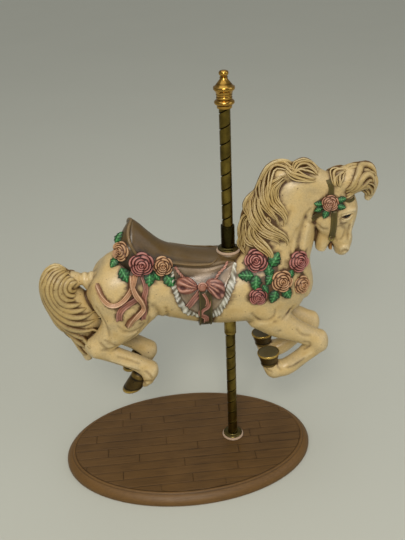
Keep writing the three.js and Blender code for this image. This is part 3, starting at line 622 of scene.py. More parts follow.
def hair(skin):
    """Mane, forelock and tail as locks of strands, and strands along their outlines."""
    made = []
    for routes, sides in ((MANE, (NEAR,)), (FAR_MANE, (FAR,)), (FORELOCK_LOCKS, (NEAR, FAR))):
        for route, strands, gap, lift in routes:
            for side in sides:
                if gap > BROAD_LOCK:
                    made += lock(skin, route, side, strands, gap, 1.5, lift, (0.8, 0.45))
                    continue
                finer = (3 * strands + 1) // 2 if side == NEAR else strands
                made += lock(skin, route, side, finer, gap * strands / finer * 1.04, 1.5, lift)
    made += [ridge(route[::-1], 4.6, 1.4, sink=3.4, inward=-0.9) for route in MANE_RIDGE]
    made += [ridge(route, 4.6, 1.2) for route in FORELOCK_RIDGE]
    arcs = [even(route, 32) for route in TAIL_ARCS]
    t = np.linspace(0, 1, 32)
    for side in (NEAR, FAR):
        for j, (a, b) in enumerate(zip(arcs[:-1], arcs[1:])):
            points, normals = skin.at((a + b) / 2, side)
            taper = np.clip(np.sin(np.pi * np.clip(0.1 + 0.89 * t, 0, 1)), 0, 1) ** 0.6
            width = np.clip(np.linalg.norm(a - b, axis=1) * 1.4, 2.0, 8.5) * taper
            rise = np.clip(0.34 * width, 0.6, 1.9)
            drop = 1.2 * np.clip(1 - t / 0.1, 0, 1) + 1.2 * np.clip((t - 0.9) / 0.1, 0, 1) - 0.3 * (j % 2)
            made.append(strand(points - normals * drop[:, None], normals, width, rise, root(points, 2.6)))
            if j > 3 and side == NEAR:
                share = 0.3 if j % 2 else 0.72
                half = ((1 - share) * a + share * b)[3 + j % 3:-3]
                points, normals = skin.at(even(half[::3], 24), side)
                taper = np.sin(np.pi * np.linspace(0.04, 0.96, 24)) ** 0.8
                made.append(strand(
                    points + normals * 0.5, normals, 2.2 * taper, 1.5 * taper, root(points, 2.6)
                ))
    made.append(ridge(TAIL_RIDGE[::-1], 4.4, 1.2, 34, 3.6, inward=-1.8))
    for y in (-4.4, 4.4):
        made.append(ridge(TAIL_RIDGE[::-1], 4.4, 1.2, 34, 3.6, y, -0.9))
        made += [ridge(route, 3.8, 1.3, 22, y=y * 0.9, inward=1.0) for route in FORELOCK_RIDGE]
    return made


def rose(skin, spot, radius, side, paint, rise=0.6, turn=0.0, fine=True):
    """Rings of overlapping petals round a coiled bud: every ring is a thick rolled lip with a narrow groove
    at its root, its reach swelling in the middle of each petal and tucking in under its neighbour's side."""
    point, normal = skin.at(spot, side, 4)
    normal = unit(normal + np.array([0.0, side * 0.55, 0.12]))
    right = unit(np.cross(normal, [0, 0, 1.0]) * side)
    over = unit(np.cross(right, normal) * side)
    sides = 44 if fine else 30
    angle = np.linspace(0, 2 * np.pi, sides, endpoint=False)
    # share of the ring's width, share of its height, glaze
    steps = [(0.06, 0.0, 1.0), (0.26, 0.72, 0.5), (0.6, 1.0, 0.0), (0.88, 0.86, 0.05)]
    # reach of the lip, petals in the ring, height of the root, height of the lip
    rows = [
        (0.17, 1, 0.7, 0.98), (0.34, 2, 0.6, 1.0), (0.54, 3, 0.42, 0.9), (0.77, 4, 0.2, 0.68),
        (1.0, 5, 0.0, 0.42),
    ]
    rows = rows if fine else [rows[0], rows[2], rows[3], rows[4]]
    inner, reach, height, glaze = np.zeros(sides), [], [], []
    for k, (lip, petals, low, high) in enumerate(rows):
        local = (
            angle * petals / (2 * np.pi) + 2.3 * turn + 0.37 * k + 0.07 * np.sin(angle + 5 * turn + k)
        ) % 1
        swell = np.sin(np.pi * np.clip(local, 0, 1)) ** 0.5
        outer = lip * (0.8 + 0.17 * swell + 0.07 * local)
        lift = high * (0.82 + 0.18 * swell) + 0.16 * (local - 0.5) * (k > 0)
        seam = 0.9 * np.exp(-((np.minimum(local, 1 - local) / 0.06) ** 2))
        for wide, tall, dark in steps:
            reach.append(inner + (outer - inner) * wide)
            height.append(low + (lift - low) * tall - 0.08 * seam)
            glaze.append(np.clip(dark + seam, 0, 1))
        inner = outer
    reach = np.array(reach) * radius
    height = np.array(height) * rise * radius
    reach = np.vstack([reach, inner[None] * radius, reach[-1:] * 0.9])
    height = np.vstack([height, height[-1:] - 0.2 * radius, np.full((1, sides), -0.5 * radius)])
    glaze = np.vstack([np.array(glaze), np.full((2, sides), 1.0)])
    rings = (
        point + right * (reach * np.cos(angle))[..., None] + over * (reach * np.sin(angle))[..., None]
        + normal * height[..., None]
    )
    return sweep(rings, paint, glaze)


def leaf(skin, spot, length, degrees, side, rise=2.2, wide=0.36):
    """A pointed oval with a toothed edge, a raised midrib and slanting veins, bowed over its length."""
    point, normal = skin.at(spot, side, 4)
    normal = unit(normal + np.array([0.0, side * 0.3, 0.1]))
    turn = np.radians(degrees)
    ahead = np.array([np.cos(turn), 0, np.sin(turn)])
    ahead = unit(ahead - normal * (ahead @ normal))
    aside = np.cross(normal, ahead)
    u = np.linspace(0.01, 0.99, 20)[:, None]
    v = np.array([-1, -0.8, -0.5, -0.16, 0, 0.16, 0.5, 0.8, 1])[None, :]
    teeth = 1 + 0.36 * (0.5 - (4.5 * u + 0.15) % 1) * np.sin(np.pi * u) ** 0.5
    half = wide * length * np.sin(np.pi * u**0.85) ** 0.75 * teeth
    slope = (4.5 * u - 1.1 * np.abs(v)) % 1
    veins = 0.75 * np.exp(-(((slope - 0.5) / 0.22) ** 2)) * np.clip(1.2 - np.abs(v), 0, 1)
    rib = 0.7 * np.exp(-((v / 0.12) ** 2))
    glaze = np.clip(0.75 - 1.3 * veins - 1.2 * rib + 0.5 * np.abs(v) ** 4, 0, 0.9)
    bow = 0.35 + 0.65 * np.sin(np.pi * u)
    height = rise * bow * (1 - 0.6 * np.abs(v) ** 2) + 0.5 * np.abs(v) ** 3 + veins + rib - 0.25
    top = (
        point + ahead * ((u - 0.5) * length)[..., None] + aside * (half * v)[..., None]
        + normal * height[..., None]
    )
    under = top[:, [-1, 0]] - normal * (rise + 2.4)
    return sweep(np.concatenate([top, under], 1), "leaf", np.concatenate([glaze, np.ones((20, 2))], 1))


def ribbon(skin, route, side, width, paint, lift=0.0, twist=0.0, notch=True, count=30, thick=1.5):
    """A flat strip along a route, its middle dipped and its edges rounded, that rocks about its own line."""
    spots = even(route, count)
    points, normals = skin.at(spots, side)
    t = np.linspace(0, 1, count)[:, None]
    ahead = unit(np.gradient(points, axis=0))
    aside = unit(np.cross(ahead, normals))
    rock = np.radians(twist) * np.sin(2 * np.pi * (t * 1.2 + 0.1))
    aside, out = aside * np.cos(rock) + normals * np.sin(rock), normals * np.cos(rock) - aside * np.sin(rock)
    across = np.array([1, 0.94, 0.76, 0.38, 0.1, -0.25, -0.66, -0.94, -1, -0.9, 0.9])
    up = np.array([0.3, 0.8, 1, 0.55, 0.95, 0.6, 1.05, 0.8, 0.3, 0, 0]) * thick
    glaze = (
        np.array([0.8, 0.3, 0, 0.5, 0, 0.45, 0, 0.3, 0.8, 0.8, 0.8]) if notch
        else 0.4 * np.abs(across) ** 4
    )
    up = np.broadcast_to(up, (count, 11)).copy()
    up[:, 9:] = -2.2 - lift
    size = width / 2 * (0.82 + 0.18 * np.cos(2 * rock))
    rings = (
        (points + normals * lift)[:, None] + aside[:, None] * (across * size)[..., None]
        + out[:, None] * up[..., None]
    )
    if notch:
        reach = (1 - np.abs(across)) * width * 0.35
        rings[-1] -= ahead[-1] * reach[:, None]
    return sweep(rings, paint, glaze)


def ball(centre, radii, paint, lean=0.0, sides=20, rows=11, tilt=0.0):
    """An ellipsoid leaned about Y and turned about Z, by degrees."""
    polar = np.linspace(0.06, np.pi - 0.06, rows)[:, None]
    angle = np.linspace(0, 2 * np.pi, sides, endpoint=False)
    x = radii[0] * np.cos(polar) + 0 * angle
    y = radii[1] * np.sin(polar) * np.cos(angle)
    z = radii[2] * np.sin(polar) * np.sin(angle)
    a, b = np.radians(lean), np.radians(tilt)
    x, z = x * np.cos(a) - z * np.sin(a), x * np.sin(a) + z * np.cos(a)
    x, y = x * np.cos(b) - y * np.sin(b), x * np.sin(b) + y * np.cos(b)
    return sweep(np.stack([x, y, z], -1) + np.asarray(centre, float), paint)


def wire(points, radius, paint, sides=8):
    """A round cord along points; the radius may change along it."""
    points = np.asarray(points, float)
    ahead = unit(np.gradient(points, axis=0))
    up = unit(np.cross(ahead, [0.0, 1.0, 0.0]) + TINY)
    aside = np.cross(ahead, up)
    angle = np.linspace(0, 2 * np.pi, sides, endpoint=False)
    radius = np.broadcast_to(radius, len(points))[:, None, None]
    around = up[:, None] * np.cos(angle)[:, None] + aside[:, None] * np.sin(angle)[:, None]
    return sweep(points[:, None] + radius * around, paint)


# ---- Roses: x, z, radius, paint; leaves: x, z, length, direction (0 towards the muzzle, 90 up) ----
ROSES = {
    NEAR: [
        (-47, 237.5, 8.8, "rose_peach"), (-31, 227, 11, "rose_mauve"), (-13, 223, 9, "rose_peach"),
        (68.5, 220, 10.8, "rose_mauve"), (105, 216.5, 9.8, "rose_mauve"), (88.5, 203.5, 10, "rose_peach"),
        (107.5, 194.5, 8.6, "rose_peach"), (67.5, 191.5, 8.2, "rose_mauve"),
        (132.6, 266.3, 7.4, "rose_blush"),
    ],
    FAR: [
        (-40, 230, 9.5, "rose_mauve"), (-20, 222, 8.6, "rose_peach"), (78, 214, 9.6, "rose_mauve"),
        (98, 204, 8.6, "rose_peach"), (132, 266, 7.2, "rose_blush"),
    ],
}
LEAVES = {
    NEAR: [
        (-48, 244, 13, 75), (-54, 226, 11, 250), (-46, 218, 14, 290), (-25.5, 213, 14, 258),
        (-19.5, 214.5, 10, 300), (-8, 209, 15, 292), (83.5, 221.5, 15, 60), (78, 213, 12, 95),
        (58, 209, 14, 172), (66, 203, 14, 265), (78, 206, 12, 240), (81, 190.5, 13, 250),
        (93, 191.5, 13, 300), (97, 207, 9, 250), (74, 198, 9, 300), (142.4, 269, 8, 8),
        (142.2, 262.6, 8, 345), (122.6, 266.2, 8, 170), (123.4, 260.6, 8, 200), (129, 256.4, 8.4, 245),
    ],
    FAR: [
        (-48, 220, 14, 235), (-30, 215, 12, 270), (-9, 213, 14, 320), (66, 207, 14, 200), (86, 194, 13, 250),
        (90, 217, 13, 60), (142, 267, 9, 10), (124, 261, 9, 210),
    ],
}
RIBBONS = [
    # route, width, paint, lift, rocking
    ([(-36, 199), (-42, 195.4), (-48.6, 191.4), (-53, 186.4), (-54.5, 178)], 5.6, "ribbon_rose", 0.2, 16),
    ([(-31, 216), (-29, 207), (-31, 198), (-31.5, 188), (-34, 176)], 4.8, "ribbon_rose", 0.1, 14),
    ([(-37, 217), (-39.4, 210.5), (-43.4, 204), (-48.4, 198), (-54.5, 194.2), (-60.6, 194.6), (-65, 199),
      (-68, 205), (-70, 210.5)], 4.6, "ribbon_peach", 0.8, 30),
    ([(-40, 217), (-40.6, 209), (-38, 202), (-33.8, 196), (-31.8, 190.5), (-33.6, 185.6), (-38, 182),
      (-42.4, 178.4), (-45.4, 174.4), (-47, 171)], 4.8, "ribbon_peach", 1.5, 34),
]


# The bridle: route, width, thickness and rows
STRAPS = [
    ([(136, 259), (136.4, 247), (136.4, 233)], 5.6, 1.0, 14),
    ([(131, 286), (133, 280), (133, 272)], 4.6, 0.9, 10),
    ([(129, 259), (125, 256.5), (118, 251.2)], 4.8, 1.0, 12),
    ([(145, 268.2), (150.2, 266), (155, 266.6)], 2.8, 0.8, 10),
]


def trim(skin):
    """Roses, leaves, ribbons and the bridle."""
    made = []
    for side in (NEAR, FAR):
        for x, z, length, degrees in LEAVES[side]:
            made.append(leaf(skin, (x, z), length, degrees, side, 2.4 if length > 9 else 1.6))
        for n, (x, z, radius, paint) in enumerate(ROSES[side]):
            made.append(rose(skin, (x, z), radius, side, paint, 0.62, 0.37 * n, side == NEAR))
        for route, width, thick, count in STRAPS:
            made.append(ribbon(skin, route, side, width, "strap", notch=False, thick=thick, count=count))
        ring, normal = skin.at((136.4, 232), side)
        angle = np.linspace(0, 2 * np.pi, 21)
        loop = ring + normal * 1.2 + 2.1 * np.stack([np.cos(angle), 0 * angle, np.sin(angle)], 1)
        made.append(wire(loop, 0.8, "strap", 6))
    for route, width, paint, lift, twist in RIBBONS:
        made.append(ribbon(skin, route, NEAR, width, paint, lift, twist))
    return made


def face(skin):
    """Dark eyes set between a heavy upper lid and a soft lower lid, and the tongue in the open mouth."""
    made = []
    for side in (NEAR, FAR):
        point = skin.at((149.4, 252.6), side)[0]
        middle = point - np.array([0, side * 1.0, 0])
        made.append(ball(middle, (3.6, 2.2, 2.0), "eye", 20, tilt=-side * 18, sides=16, rows=9))
        for route, size in (
            ([(142.6, 253.6), (145.8, 255.2), (149.6, 255.8), (154, 255.6)], 1.15),
            ([(143.6, 251), (146.6, 249.6), (150.2, 250), (153.4, 252.6)], 0.9),
        ):
            spots = even(route, 14)
            points, normals = skin.at(spots, side)
            taper = size * np.sin(np.pi * np.linspace(0.1, 0.9, 14)) ** 0.6
            made.append(wire(points + normals * 0.1 * size, taper, "ivory", 7))
    made.append(limb([(137, 229, 2.6, 5.5), (137.4, 223, 2.4, 5), (138, 217.5, 1.6, 4)], 0, "bit", 14))
    return made


# ---- Saddle, skirt, lace, bow and girth ----
SKIRT_RIM = [
    (-4.8, 221.4), (3, 220.8), (9, 219.6), (14, 218.8), (21, 218.2), (28, 218), (34, 218.4), (41, 218.4),
    (48.6, 217.6),
]
SKIRT_EDGE = [
    (-5.2, 220.4), (-3.6, 211.4), (-0.6, 197), (5, 186), (12.4, 178.6), (20, 176), (29, 181),
    (36.4, 189.6), (41, 200.5), (45.6, 209), (48.8, 216.8),
]
LACE_EDGE = [
    (-8.2, 218), (-7.2, 207.6), (-6.8, 198), (-3.2, 188), (2.6, 179), (10.8, 173.6), (20, 170.8),
    (30.4, 173.2), (39.4, 182.6), (45.4, 195.4), (49.4, 207), (52, 215.6),
]
WELT = [
    (-36.4, 1, 258.6), (-37.4, -4, 258), (-39, -8.5, 256), (-40, -14, 251.6), (-39, -18.4, 246),
    (-36, -20.2, 239), (-31.5, -20.5, 231.5), (-25, -20.3, 226.6), (-14, -19.8, 225), (-5, -19.4, 224.6),
    (3, -19.2, 222.8), (14, -18.8, 220.6), (23, -18.2, 219.8), (29, -17.2, 219.7), (32.6, -14.6, 220.8),
    (35.8, -11.4, 221.5), (39, -8.4, 221.9),
]


def seat():
    """The saddle: sections across the back, crowned from rim to middle, with a rolled rim along each side."""
    rows = smooth(SEAT, 60)
    v = np.linspace(-1, 1, 25)
    behind = np.clip((34 - rows[:, :1]) / 8, 0, 1)
    rim = 0.8 * behind * np.exp(-(((np.abs(v) - 0.93) / 0.06) ** 2))
    dip = 1.0 * behind * np.exp(-(((np.abs(v) - 0.78) / 0.09) ** 2))
    z = rows[:, 2:3] + (rows[:, 1:2] - rows[:, 2:3]) * np.abs(v) ** 2.1 + (rim - dip)
    y = rows[:, 3:4] * v
    top = np.stack([np.broadcast_to(rows[:, :1], z.shape), y, z], -1)
    sides = [(1.01, -3.5), (1.03, None), (-1.03, None), (-1.01, -3.5)]
    walls = [
        np.stack(
            [rows[:, 0], share * rows[:, 3], rows[:, 1] + drop if drop else np.full(len(rows), 198.0)], 1
        )
        for share, drop in sides
    ]
    return sweep(np.concatenate([top, np.stack(walls, 1)], 1), "saddle")


def welts():
    """Rolled piping from the top of the cantle down both its sides and along the rim to the pole's collar."""
    made = []
    for side in (NEAR, FAR):
        route = even(np.array(WELT) * [1, -side, 1], 48)
        swell = (0.9 + 0.7 * np.linspace(1, 0, 48)) * np.clip(np.linspace(8, 0.3, 48), 0, 1)
        made.append(wire(route, swell, "saddle", 8))
    return made


def skirt(skin, side):
    """The cloth: a padded sheet hung from the rim of the seat, with soft folds and its edge turned under."""
    edge, rim = even(SKIRT_EDGE, 65), even(SKIRT_RIM, 65)
    turn = np.linspace(0, np.pi, 65)[:, None]
    out = np.concatenate([[0, 0.05, 0.12], np.linspace(0.22, 0.96, 11), [1.0]])
    spots = rim[:, None] + (edge - rim)[:, None] * out[:, None]
    points, normals = skin.at(spots, side, 3)
    folds = 0.45 * np.sin(6 * turn + 1.2) * out**3 + 0.22 * np.sin(17 * turn + 2 * out) * out**4
    height = (
        1.4 + 1.2 * np.sin(np.pi * np.clip(out * 0.9, 0, 1)) * np.sin(turn) + folds
        + 0.7 * np.exp(-(((out - 0.9) / 0.07) ** 2)) - 1.3 * out**12
    )
    tuck = np.clip(out / 0.12, 0, 1) ** 0.5
    top = points + normals * (height * tuck - 0.9 * (1 - tuck))[..., None]
    under = points - normals * 3.0
    return sweep(np.concatenate([top, under[:, [14, 8, 0]]], 1), "skirt")


def lace(skin, side):
    """Pleated trim round the skirt: slanted flutes that deepen outwards to a scalloped edge."""
    count = 230 if side == NEAR else 140
    inner, outer = even(SKIRT_EDGE, count), even(LACE_EDGE, count)
    t = np.linspace(0, 1, count)[:, None]
    v = np.linspace(0, 1, 7)
    wave = 84 * t + 1.6 * np.sin(9 * t) + 0.8 * np.sin(31 * t)
    scallop = 0.16 * np.abs(np.sin(wave)) + 0.12 * np.sin(23 * t) - 0.1 * np.abs(np.sin(2.6 * wave))
    spots = inner[:, None] + (outer - inner)[:, None] * (v * (0.95 + scallop) - 0.12)[..., None]
    points, normals = skin.at(spots, side, 3)
    flute = 0.75 * np.sin(2 * wave + 2.4 * v) * (0.35 + 0.65 * v) + 0.5 * np.sin(47 * t - 3 * v)
    height = 1.5 + flute - 0.6 * v**6
    top = points + normals * height[..., None]
    under = points - normals * 2.6
    glaze = np.clip(0.25 - 0.75 * flute + 0.6 * np.exp(-((v / 0.12) ** 2)), 0, 1)
    return sweep(
        np.concatenate([top, under[:, [6, 0]]], 1), "lace", np.concatenate([glaze, np.ones((count, 2))], 1)
    )


LOOPS = [
    # outline in the side view from the knot round and back, the middle, and the dark mouth of the fold
    ([(17.6, 201.8), (12, 208), (5, 211.4), (-1.4, 209.6), (-2.6, 203.6), (0.4, 198.6), (7.2, 197.6),
      (14.5, 200)], (6.5, 204), (2.2, 202)),
    ([(21.2, 204), (26, 207.2), (33, 206.8), (38.6, 203), (38.6, 196.4), (35.4, 192), (29.6, 193.8),
      (24, 199)], (30, 200), (34.5, 197)),
]


def puff(skin, outline, middle, mouth, side, paint, rise=4.6):
    """A gathered loop of ribbon: a pillow over an outline, pleated from the knot, its end a hollow mouth."""
    ring = even(outline + outline[:1], 41)[:-1]
    middle, mouth = np.array(middle, float), np.array(mouth, float)
    share = np.concatenate([[0.05], np.linspace(0.18, 0.86, 6), [0.95, 1.0]])
    spots = middle + (ring - middle) * share[:, None, None]
    points, normals = skin.at(spots, side, 4)
    away = spots - ring[0]
    bearing = np.arctan2(away[..., 1], away[..., 0])
    far = np.linalg.norm(away, axis=-1)
    fold = np.cos(22 * bearing + 0.3 * far)
    pleat = 1.25 * fold * np.clip(far / 6, 0, 1)
    hole = 2.9 * np.exp(-((np.linalg.norm((spots - mouth) * [0.8, 1.2], axis=-1) / 2.2) ** 2))
    dome = np.sqrt(np.maximum(1 - share**2.6, 0))[:, None]
    height = rise * dome * (0.62 + 0.38 * np.clip(far / 14, 0, 1)) + pleat * dome - hole * dome + 2.0
    rings = points + normals * height[..., None]
    glaze = np.clip(-0.8 * fold - 0.1 + hole / 1.8, 0, 1) * np.clip(far / 5, 0.2, 1)
    foot = points[-1:] - normals[-1:] * 2.5
    return sweep(np.concatenate([rings, foot]), paint, np.vstack([glaze, np.ones((1, 40))]))


def bow(skin, side):
    """A ribbon bow: gathered loops either side of a coiled knot, two tails, and the cords it hangs from."""
    made = [puff(skin, *loop, side, "ribbon_rose") for loop in LOOPS]
    knot, normal = skin.at((19.4, 202), side, 4)
    made.append(ball(knot + normal * 3.2, (4.2, 3.2, 4.6), "ribbon_rose", 8, sides=18, rows=9))
    turn = np.linspace(0, 4.2 * np.pi, 40)
    coil = np.linspace(3.9, 0.4, 40)
    spiral = knot + normal * (4.9 + 1.3 * np.linspace(0, 1, 40))[:, None] + np.stack(
        [coil * np.cos(turn), 0 * turn, 1.1 * coil * np.sin(turn)], 1
    )
    made.append(wire(spiral, 0.75, "ribbon_rose", 6))
    short = [(17, 199), (13, 194.6), (9.4, 190.6), (5.6, 187)]
    long = [(20.5, 198), (23.6, 192), (23, 187), (18.6, 183.6), (17.4, 179.4), (21.4, 175.6), (21.4, 170)]
    made.append(ribbon(skin, short, side, 5.4, "ribbon_rose", 2.2, 12, count=18))
    made.append(ribbon(skin, long, side, 5.0, "ribbon_rose", 2.6, 26))
    for route in ([(-2.6, 221), (1.4, 214.6), (5.4, 208)], [(43.4, 218.6), (38, 213.4), (30.6, 205.6)]):
        points, normals = skin.at(even(route, 32), side, 4)
        aside = unit(np.cross(np.gradient(points, axis=0), normals))
        for phase in (0, np.pi):
            wind = np.linspace(0, 5.6 * np.pi, 32)[:, None] + phase
            stand = 0.4 + 2.8 * np.clip(np.linspace(0, 4, 32), 0, 1)[:, None]
            core = points + normals * stand + 0.55 * (normals * np.cos(wind) + aside * np.sin(wind))
            made.append(wire(core, 0.85, "ribbon_rose", 5))
    return made


def girth(low=0.86, span=1.28):
    """A strap that follows the barrel's section under the belly from flank to flank."""
    middle_x, middle_z, half_y, half_z, half_strap = 21.5, 187, 31, 30.5, 5.7
    turn = np.pi * (low + span * np.linspace(0, 1, 45))
    across = np.array([-1, -0.96, -0.8, -0.72, 0, 0.72, 0.8, 0.96, 1])
    up = np.array([0, 0.9, 1, 0.6, 0.7, 0.6, 1, 0.9, 0]) * 1.4
    stand = np.concatenate([1.9 + up, [-3, -3]])[None, :]
    shift = np.concatenate([across, [0.9, -0.9]])[None, :] * half_strap
    y = (half_y + stand) * np.cos(turn)[:, None]
    z = middle_z + (half_z + stand) * np.sin(turn)[:, None]
    return sweep(np.stack([middle_x + shift + 0 * y, y, z], -1), "girth")


def hoof(start, end, side, sizes, tilt=0.0):
    """A hoof as ellipses along its axis: coronet band, wall that flares to a rolled rim, and a flat sole
    inside it. The ellipses lean by tilt degrees more at the sole than at the coronet."""
    a, b = (np.array([x, side * LEG_OFFSET, z], float) for x, z in (start, end))
    axis = unit(b - a)
    aside = np.array([0, 1.0, 0])
    up = np.cross(axis, aside)
    lean = np.radians(tilt)
    length = np.linalg.norm(b - a)
    wall = np.array([
        (0.56, 0.0), (0.66, 0.08), (0.76, 0.14), (0.78, 0.24), (0.75, 0.32), (0.8, 0.42), (0.88, 0.64),
        (0.94, 0.78), (0.95, 0.83), (1.0, 0.88), (1.01, 0.95), (0.98, 1.0), (0.92, 1.01), (0.9, 0.98),
        (0.3, 0.97), (0.06, 0.97),
    ])
    sole = np.array([
        (0.1, 0.9), (0.88, 0.9), (0.905, 0.97), (0.89, 0.995), (0.8, 1.0), (0.4, 1.0), (0.05, 1.0),
    ])
    glaze = np.array([1, 0.8, 0.3, 0.2, 0.9, 0.5, 0.5, 0.6, 1.0, 0, 0, 0, 0.3, 1, 1, 1])[:, None]
    angle = np.linspace(0, 2 * np.pi, 28, endpoint=False)
    made = []
    for rows, paint, soak in ((wall, "bronze", glaze), (sole, "sole", 0.0)):
        r = rows[:, :1] * sizes[0]
        turn = lean * rows[:, 1:]
        level = up * np.cos(turn) + axis * -np.sin(turn)
        rings = a + axis * (rows[:, 1:] * length)[..., None] + (
            level[:, None] * (r * np.cos(angle))[..., None]
            + aside * (r * sizes[1] * np.sin(angle))[..., None]
        )
        made.append(sweep(rings, paint, soak))
    return made


# ---- Materials ----

def linear(code):
    """A colour from its sRGB hex code, in the linear values that shaders take."""
    srgb = np.array([int(code[k:k + 2], 16) / 255 for k in (0, 2, 4)])
    return tuple(np.where(srgb <= 0.04045, srgb / 12.92, ((srgb + 0.055) / 1.055) ** 2.4)) + (1.0,)


def add(tree, kind, inputs=None, **settings):
    """Adds one node: its properties, and its inputs as values or links."""
    made = tree.nodes.new(kind)
    for name, value in settings.items():
        setattr(made, name, value)
    for name, value in (inputs or {}).items():
        if isinstance(value, bpy.types.NodeSocket):
            tree.links.new(value, made.inputs[name])
        else:
            made.inputs[name].default_value = value
    return made


class Finish:
    """A new material with a surface shader, and short ways to add its nodes. The attribute hollow says how
    deep in a hollow each point is."""

    def __init__(self, name):
        self.made = bpy.data.materials.new(name)
        self.made.use_nodes = True
        self.tree = self.made.node_tree
        self.tree.nodes.clear()
        self.shader = add(self.tree, "ShaderNodeBsdfPrincipled")
        add(self.tree, "ShaderNodeOutputMaterial", {"Surface": self.shader.outputs[0]})
        self.place = add(self.tree, "ShaderNodeTexCoord").outputs["Object"]

    def attribute(self, name):
        """The value each point carries under this name."""
        return add(self.tree, "ShaderNodeAttribute", attribute_name=name).outputs["Fac"]

    def noise(self, scale, detail, rough=0.5, stretch=None):
        """Noise with this many cells to the metre, stretched along an axis where its share is below one."""
        place = self.place
        if stretch:
            place = add(self.tree, "ShaderNodeMapping", {"Vector": place, "Scale": stretch}).outputs[0]
        inputs = {"Vector": place, "Scale": scale, "Detail": detail, "Roughness": rough}
        return add(self.tree, "ShaderNodeTexNoise", inputs).outputs["Fac"]

    def span(self, value, low, high, start, end):
        """The value carried over from low..high to start..end, and held there."""
        inputs = {"Value": value, "From Min": low, "From Max": high, "To Min": start, "To Max": end}
        return add(self.tree, "ShaderNodeMapRange", inputs).outputs[0]

    def scaled(self, value, share):
        """The value times a share."""
        return add(self.tree, "ShaderNodeMath", {0: value, 1: share}, operation="MULTIPLY").outputs[0]

    def total(self, *values):
        """The sum of the values, held from zero to one."""
        out = values[0]
        for value in values[1:]:
            last = value is values[-1]
            out = add(
                self.tree, "ShaderNodeMath", {0: out, 1: value}, operation="ADD", use_clamp=last
            ).outputs[0]
        return out

    def mix(self, factor, a, b):
        """The colour this far from a to b."""
        return add(self.tree, "ShaderNodeMix", {0: factor, 6: a, 7: b}, data_type="RGBA").outputs[2]

    def end(self, colour, rough, height, strength, distance=0.0003, **others):
        """Links colour, roughness and bump to the shader, sets its other inputs and gives the material."""
        inputs = {"Strength": strength, "Distance": distance, "Height": height}
        bump = add(self.tree, "ShaderNodeBump", inputs)
        self.tree.links.new(colour, self.shader.inputs["Base Color"])
        self.tree.links.new(bump.outputs[0], self.shader.inputs["Normal"])
        if isinstance(rough, bpy.types.NodeSocket):
            self.tree.links.new(rough, self.shader.inputs["Roughness"])
        else:
            self.shader.inputs["Roughness"].default_value = rough
        for name, value in others.items():
            self.shader.inputs[name.replace("_", " ")].default_value = value
        return self.made


def painted(name, colour, wash, high, strength=1.0, rough=0.42, metallic=0.0, coat=0.0, grain=1.0):
    """Brushed paint on cast resin: an even coat, a thin brown glaze wiped off all but the hollows, and a
    painted highlight that makes the crowns and edges paler. The attributes hollow and edge carry where those
    are."""
    coats = Finish(name)
    # Glaze pools in patches 12 mm across, breaks up over 1.5 mm, and spatters in specks 0.7 mm wide.
    broad = coats.noise(80.0, 3.0)
    patches = coats.span(broad, 0.42, 0.7, 0.0, 0.32)
    specks = coats.span(coats.noise(650.0, 4.0, 0.65), 0.35, 0.75, -0.08, 0.16)
    spatter = coats.span(coats.noise(420.0, 1.0), 0.73, 0.77, 0.0, 0.6)
    glaze = coats.total(coats.scaled(coats.attribute("hollow"), strength), patches, spatter, specks)
    # The coat itself runs from a little paler to a little browner, as old varnish does.
    paler = tuple(min(1.0, 1.06 * c) for c in colour[:3]) + (1.0,)
    darker = tuple(c * k for c, k in zip(colour, (0.84, 0.76, 0.6))) + (1.0,)
    paint = coats.mix(coats.span(broad, 0.3, 0.7, 0.0, 1.0), darker, paler)
    # Painted highlight: crowns and edges are mixed towards the pale colour high.
    paint = coats.mix(coats.scaled(coats.attribute("edge"), 0.75), paint, high)
    matt = coats.span(glaze, 0.0, 1.0, rough, min(1.0, rough + 0.2))
    # Brush drag and casting pores, 0.8 mm apart.
    pores = coats.noise(1300.0, 3.0, 0.6)
    gloss = {"Coat_Weight": coat, "Coat_Roughness": 0.25} if coat else {}
    return coats.end(coats.mix(glaze, paint, wash), matt, pores, 0.22 * grain, Metallic=metallic, **gloss)


def metal(name, colour, dull, rough=0.3, tarnish=0.5, scale=120.0):
    """Turned brass, lacquered and aged: bright on the crowns, browned by tarnish in patches and hollows."""
    brass = Finish(name)
    age = brass.total(
        brass.span(brass.noise(scale, 5.0, 0.6), 0.35, 0.68, 0.0, tarnish), brass.attribute("hollow")
    )
    # Turning lines 0.5 mm apart run round the piece.
    lines = brass.noise(2000.0, 2.0, stretch=(0.15, 0.15, 1.0))
    matt = brass.span(age, 0.0, 1.0, rough, rough + 0.25)
    return brass.end(brass.mix(age, colour, dull), matt, lines, 0.08, 0.0002, Metallic=1.0)


def stained_wood(name, colour, dark):
    """Brown-stained board under satin varnish: long grain streaks along X, fine pores, darker stain in the
    seams. The attribute board gives each board its own depth of stain and paints light on the moulded rim."""
    wood = Finish(name)
    # Grain 1.2 mm wide and some 25 mm long.
    grain = wood.noise(850.0, 4.0, 0.6, (0.05, 1.0, 1.0))
    streak = wood.span(grain, 0.35, 0.7, 0.0, 0.3)
    cloud = wood.span(wood.noise(35.0, 3.0), 0.35, 0.65, 0.0, 0.16)
    stain = wood.mix(
        wood.total(streak, cloud, wood.attribute("board"), wood.attribute("hollow")), colour, dark
    )
    return wood.end(stain, wood.span(grain, 0.3, 0.7, 0.4, 0.54), grain, 0.12, Specular_IOR_Level=0.3)


def felt(name, colour, dark):
    """Pressed felt: matt, with short fibres and soft clumps 1 mm wide."""
    cloth = Finish(name)
    clumps = cloth.noise(900.0, 6.0, 0.75)
    return cloth.end(cloth.mix(clumps, colour, dark), 0.9, clumps, 0.5, Sheen_Weight=0.3)


def plaster(name, colour):
    """Smooth pale floor: matt, a little clouded."""
    floor = Finish(name)
    cloud = floor.noise(3.0, 2.0)
    return floor.end(floor.mix(cloud, colour, tuple(0.96 * c for c in colour[:3]) + (1,)), 0.85, cloud, 0.0)


# ---- Meshes ----

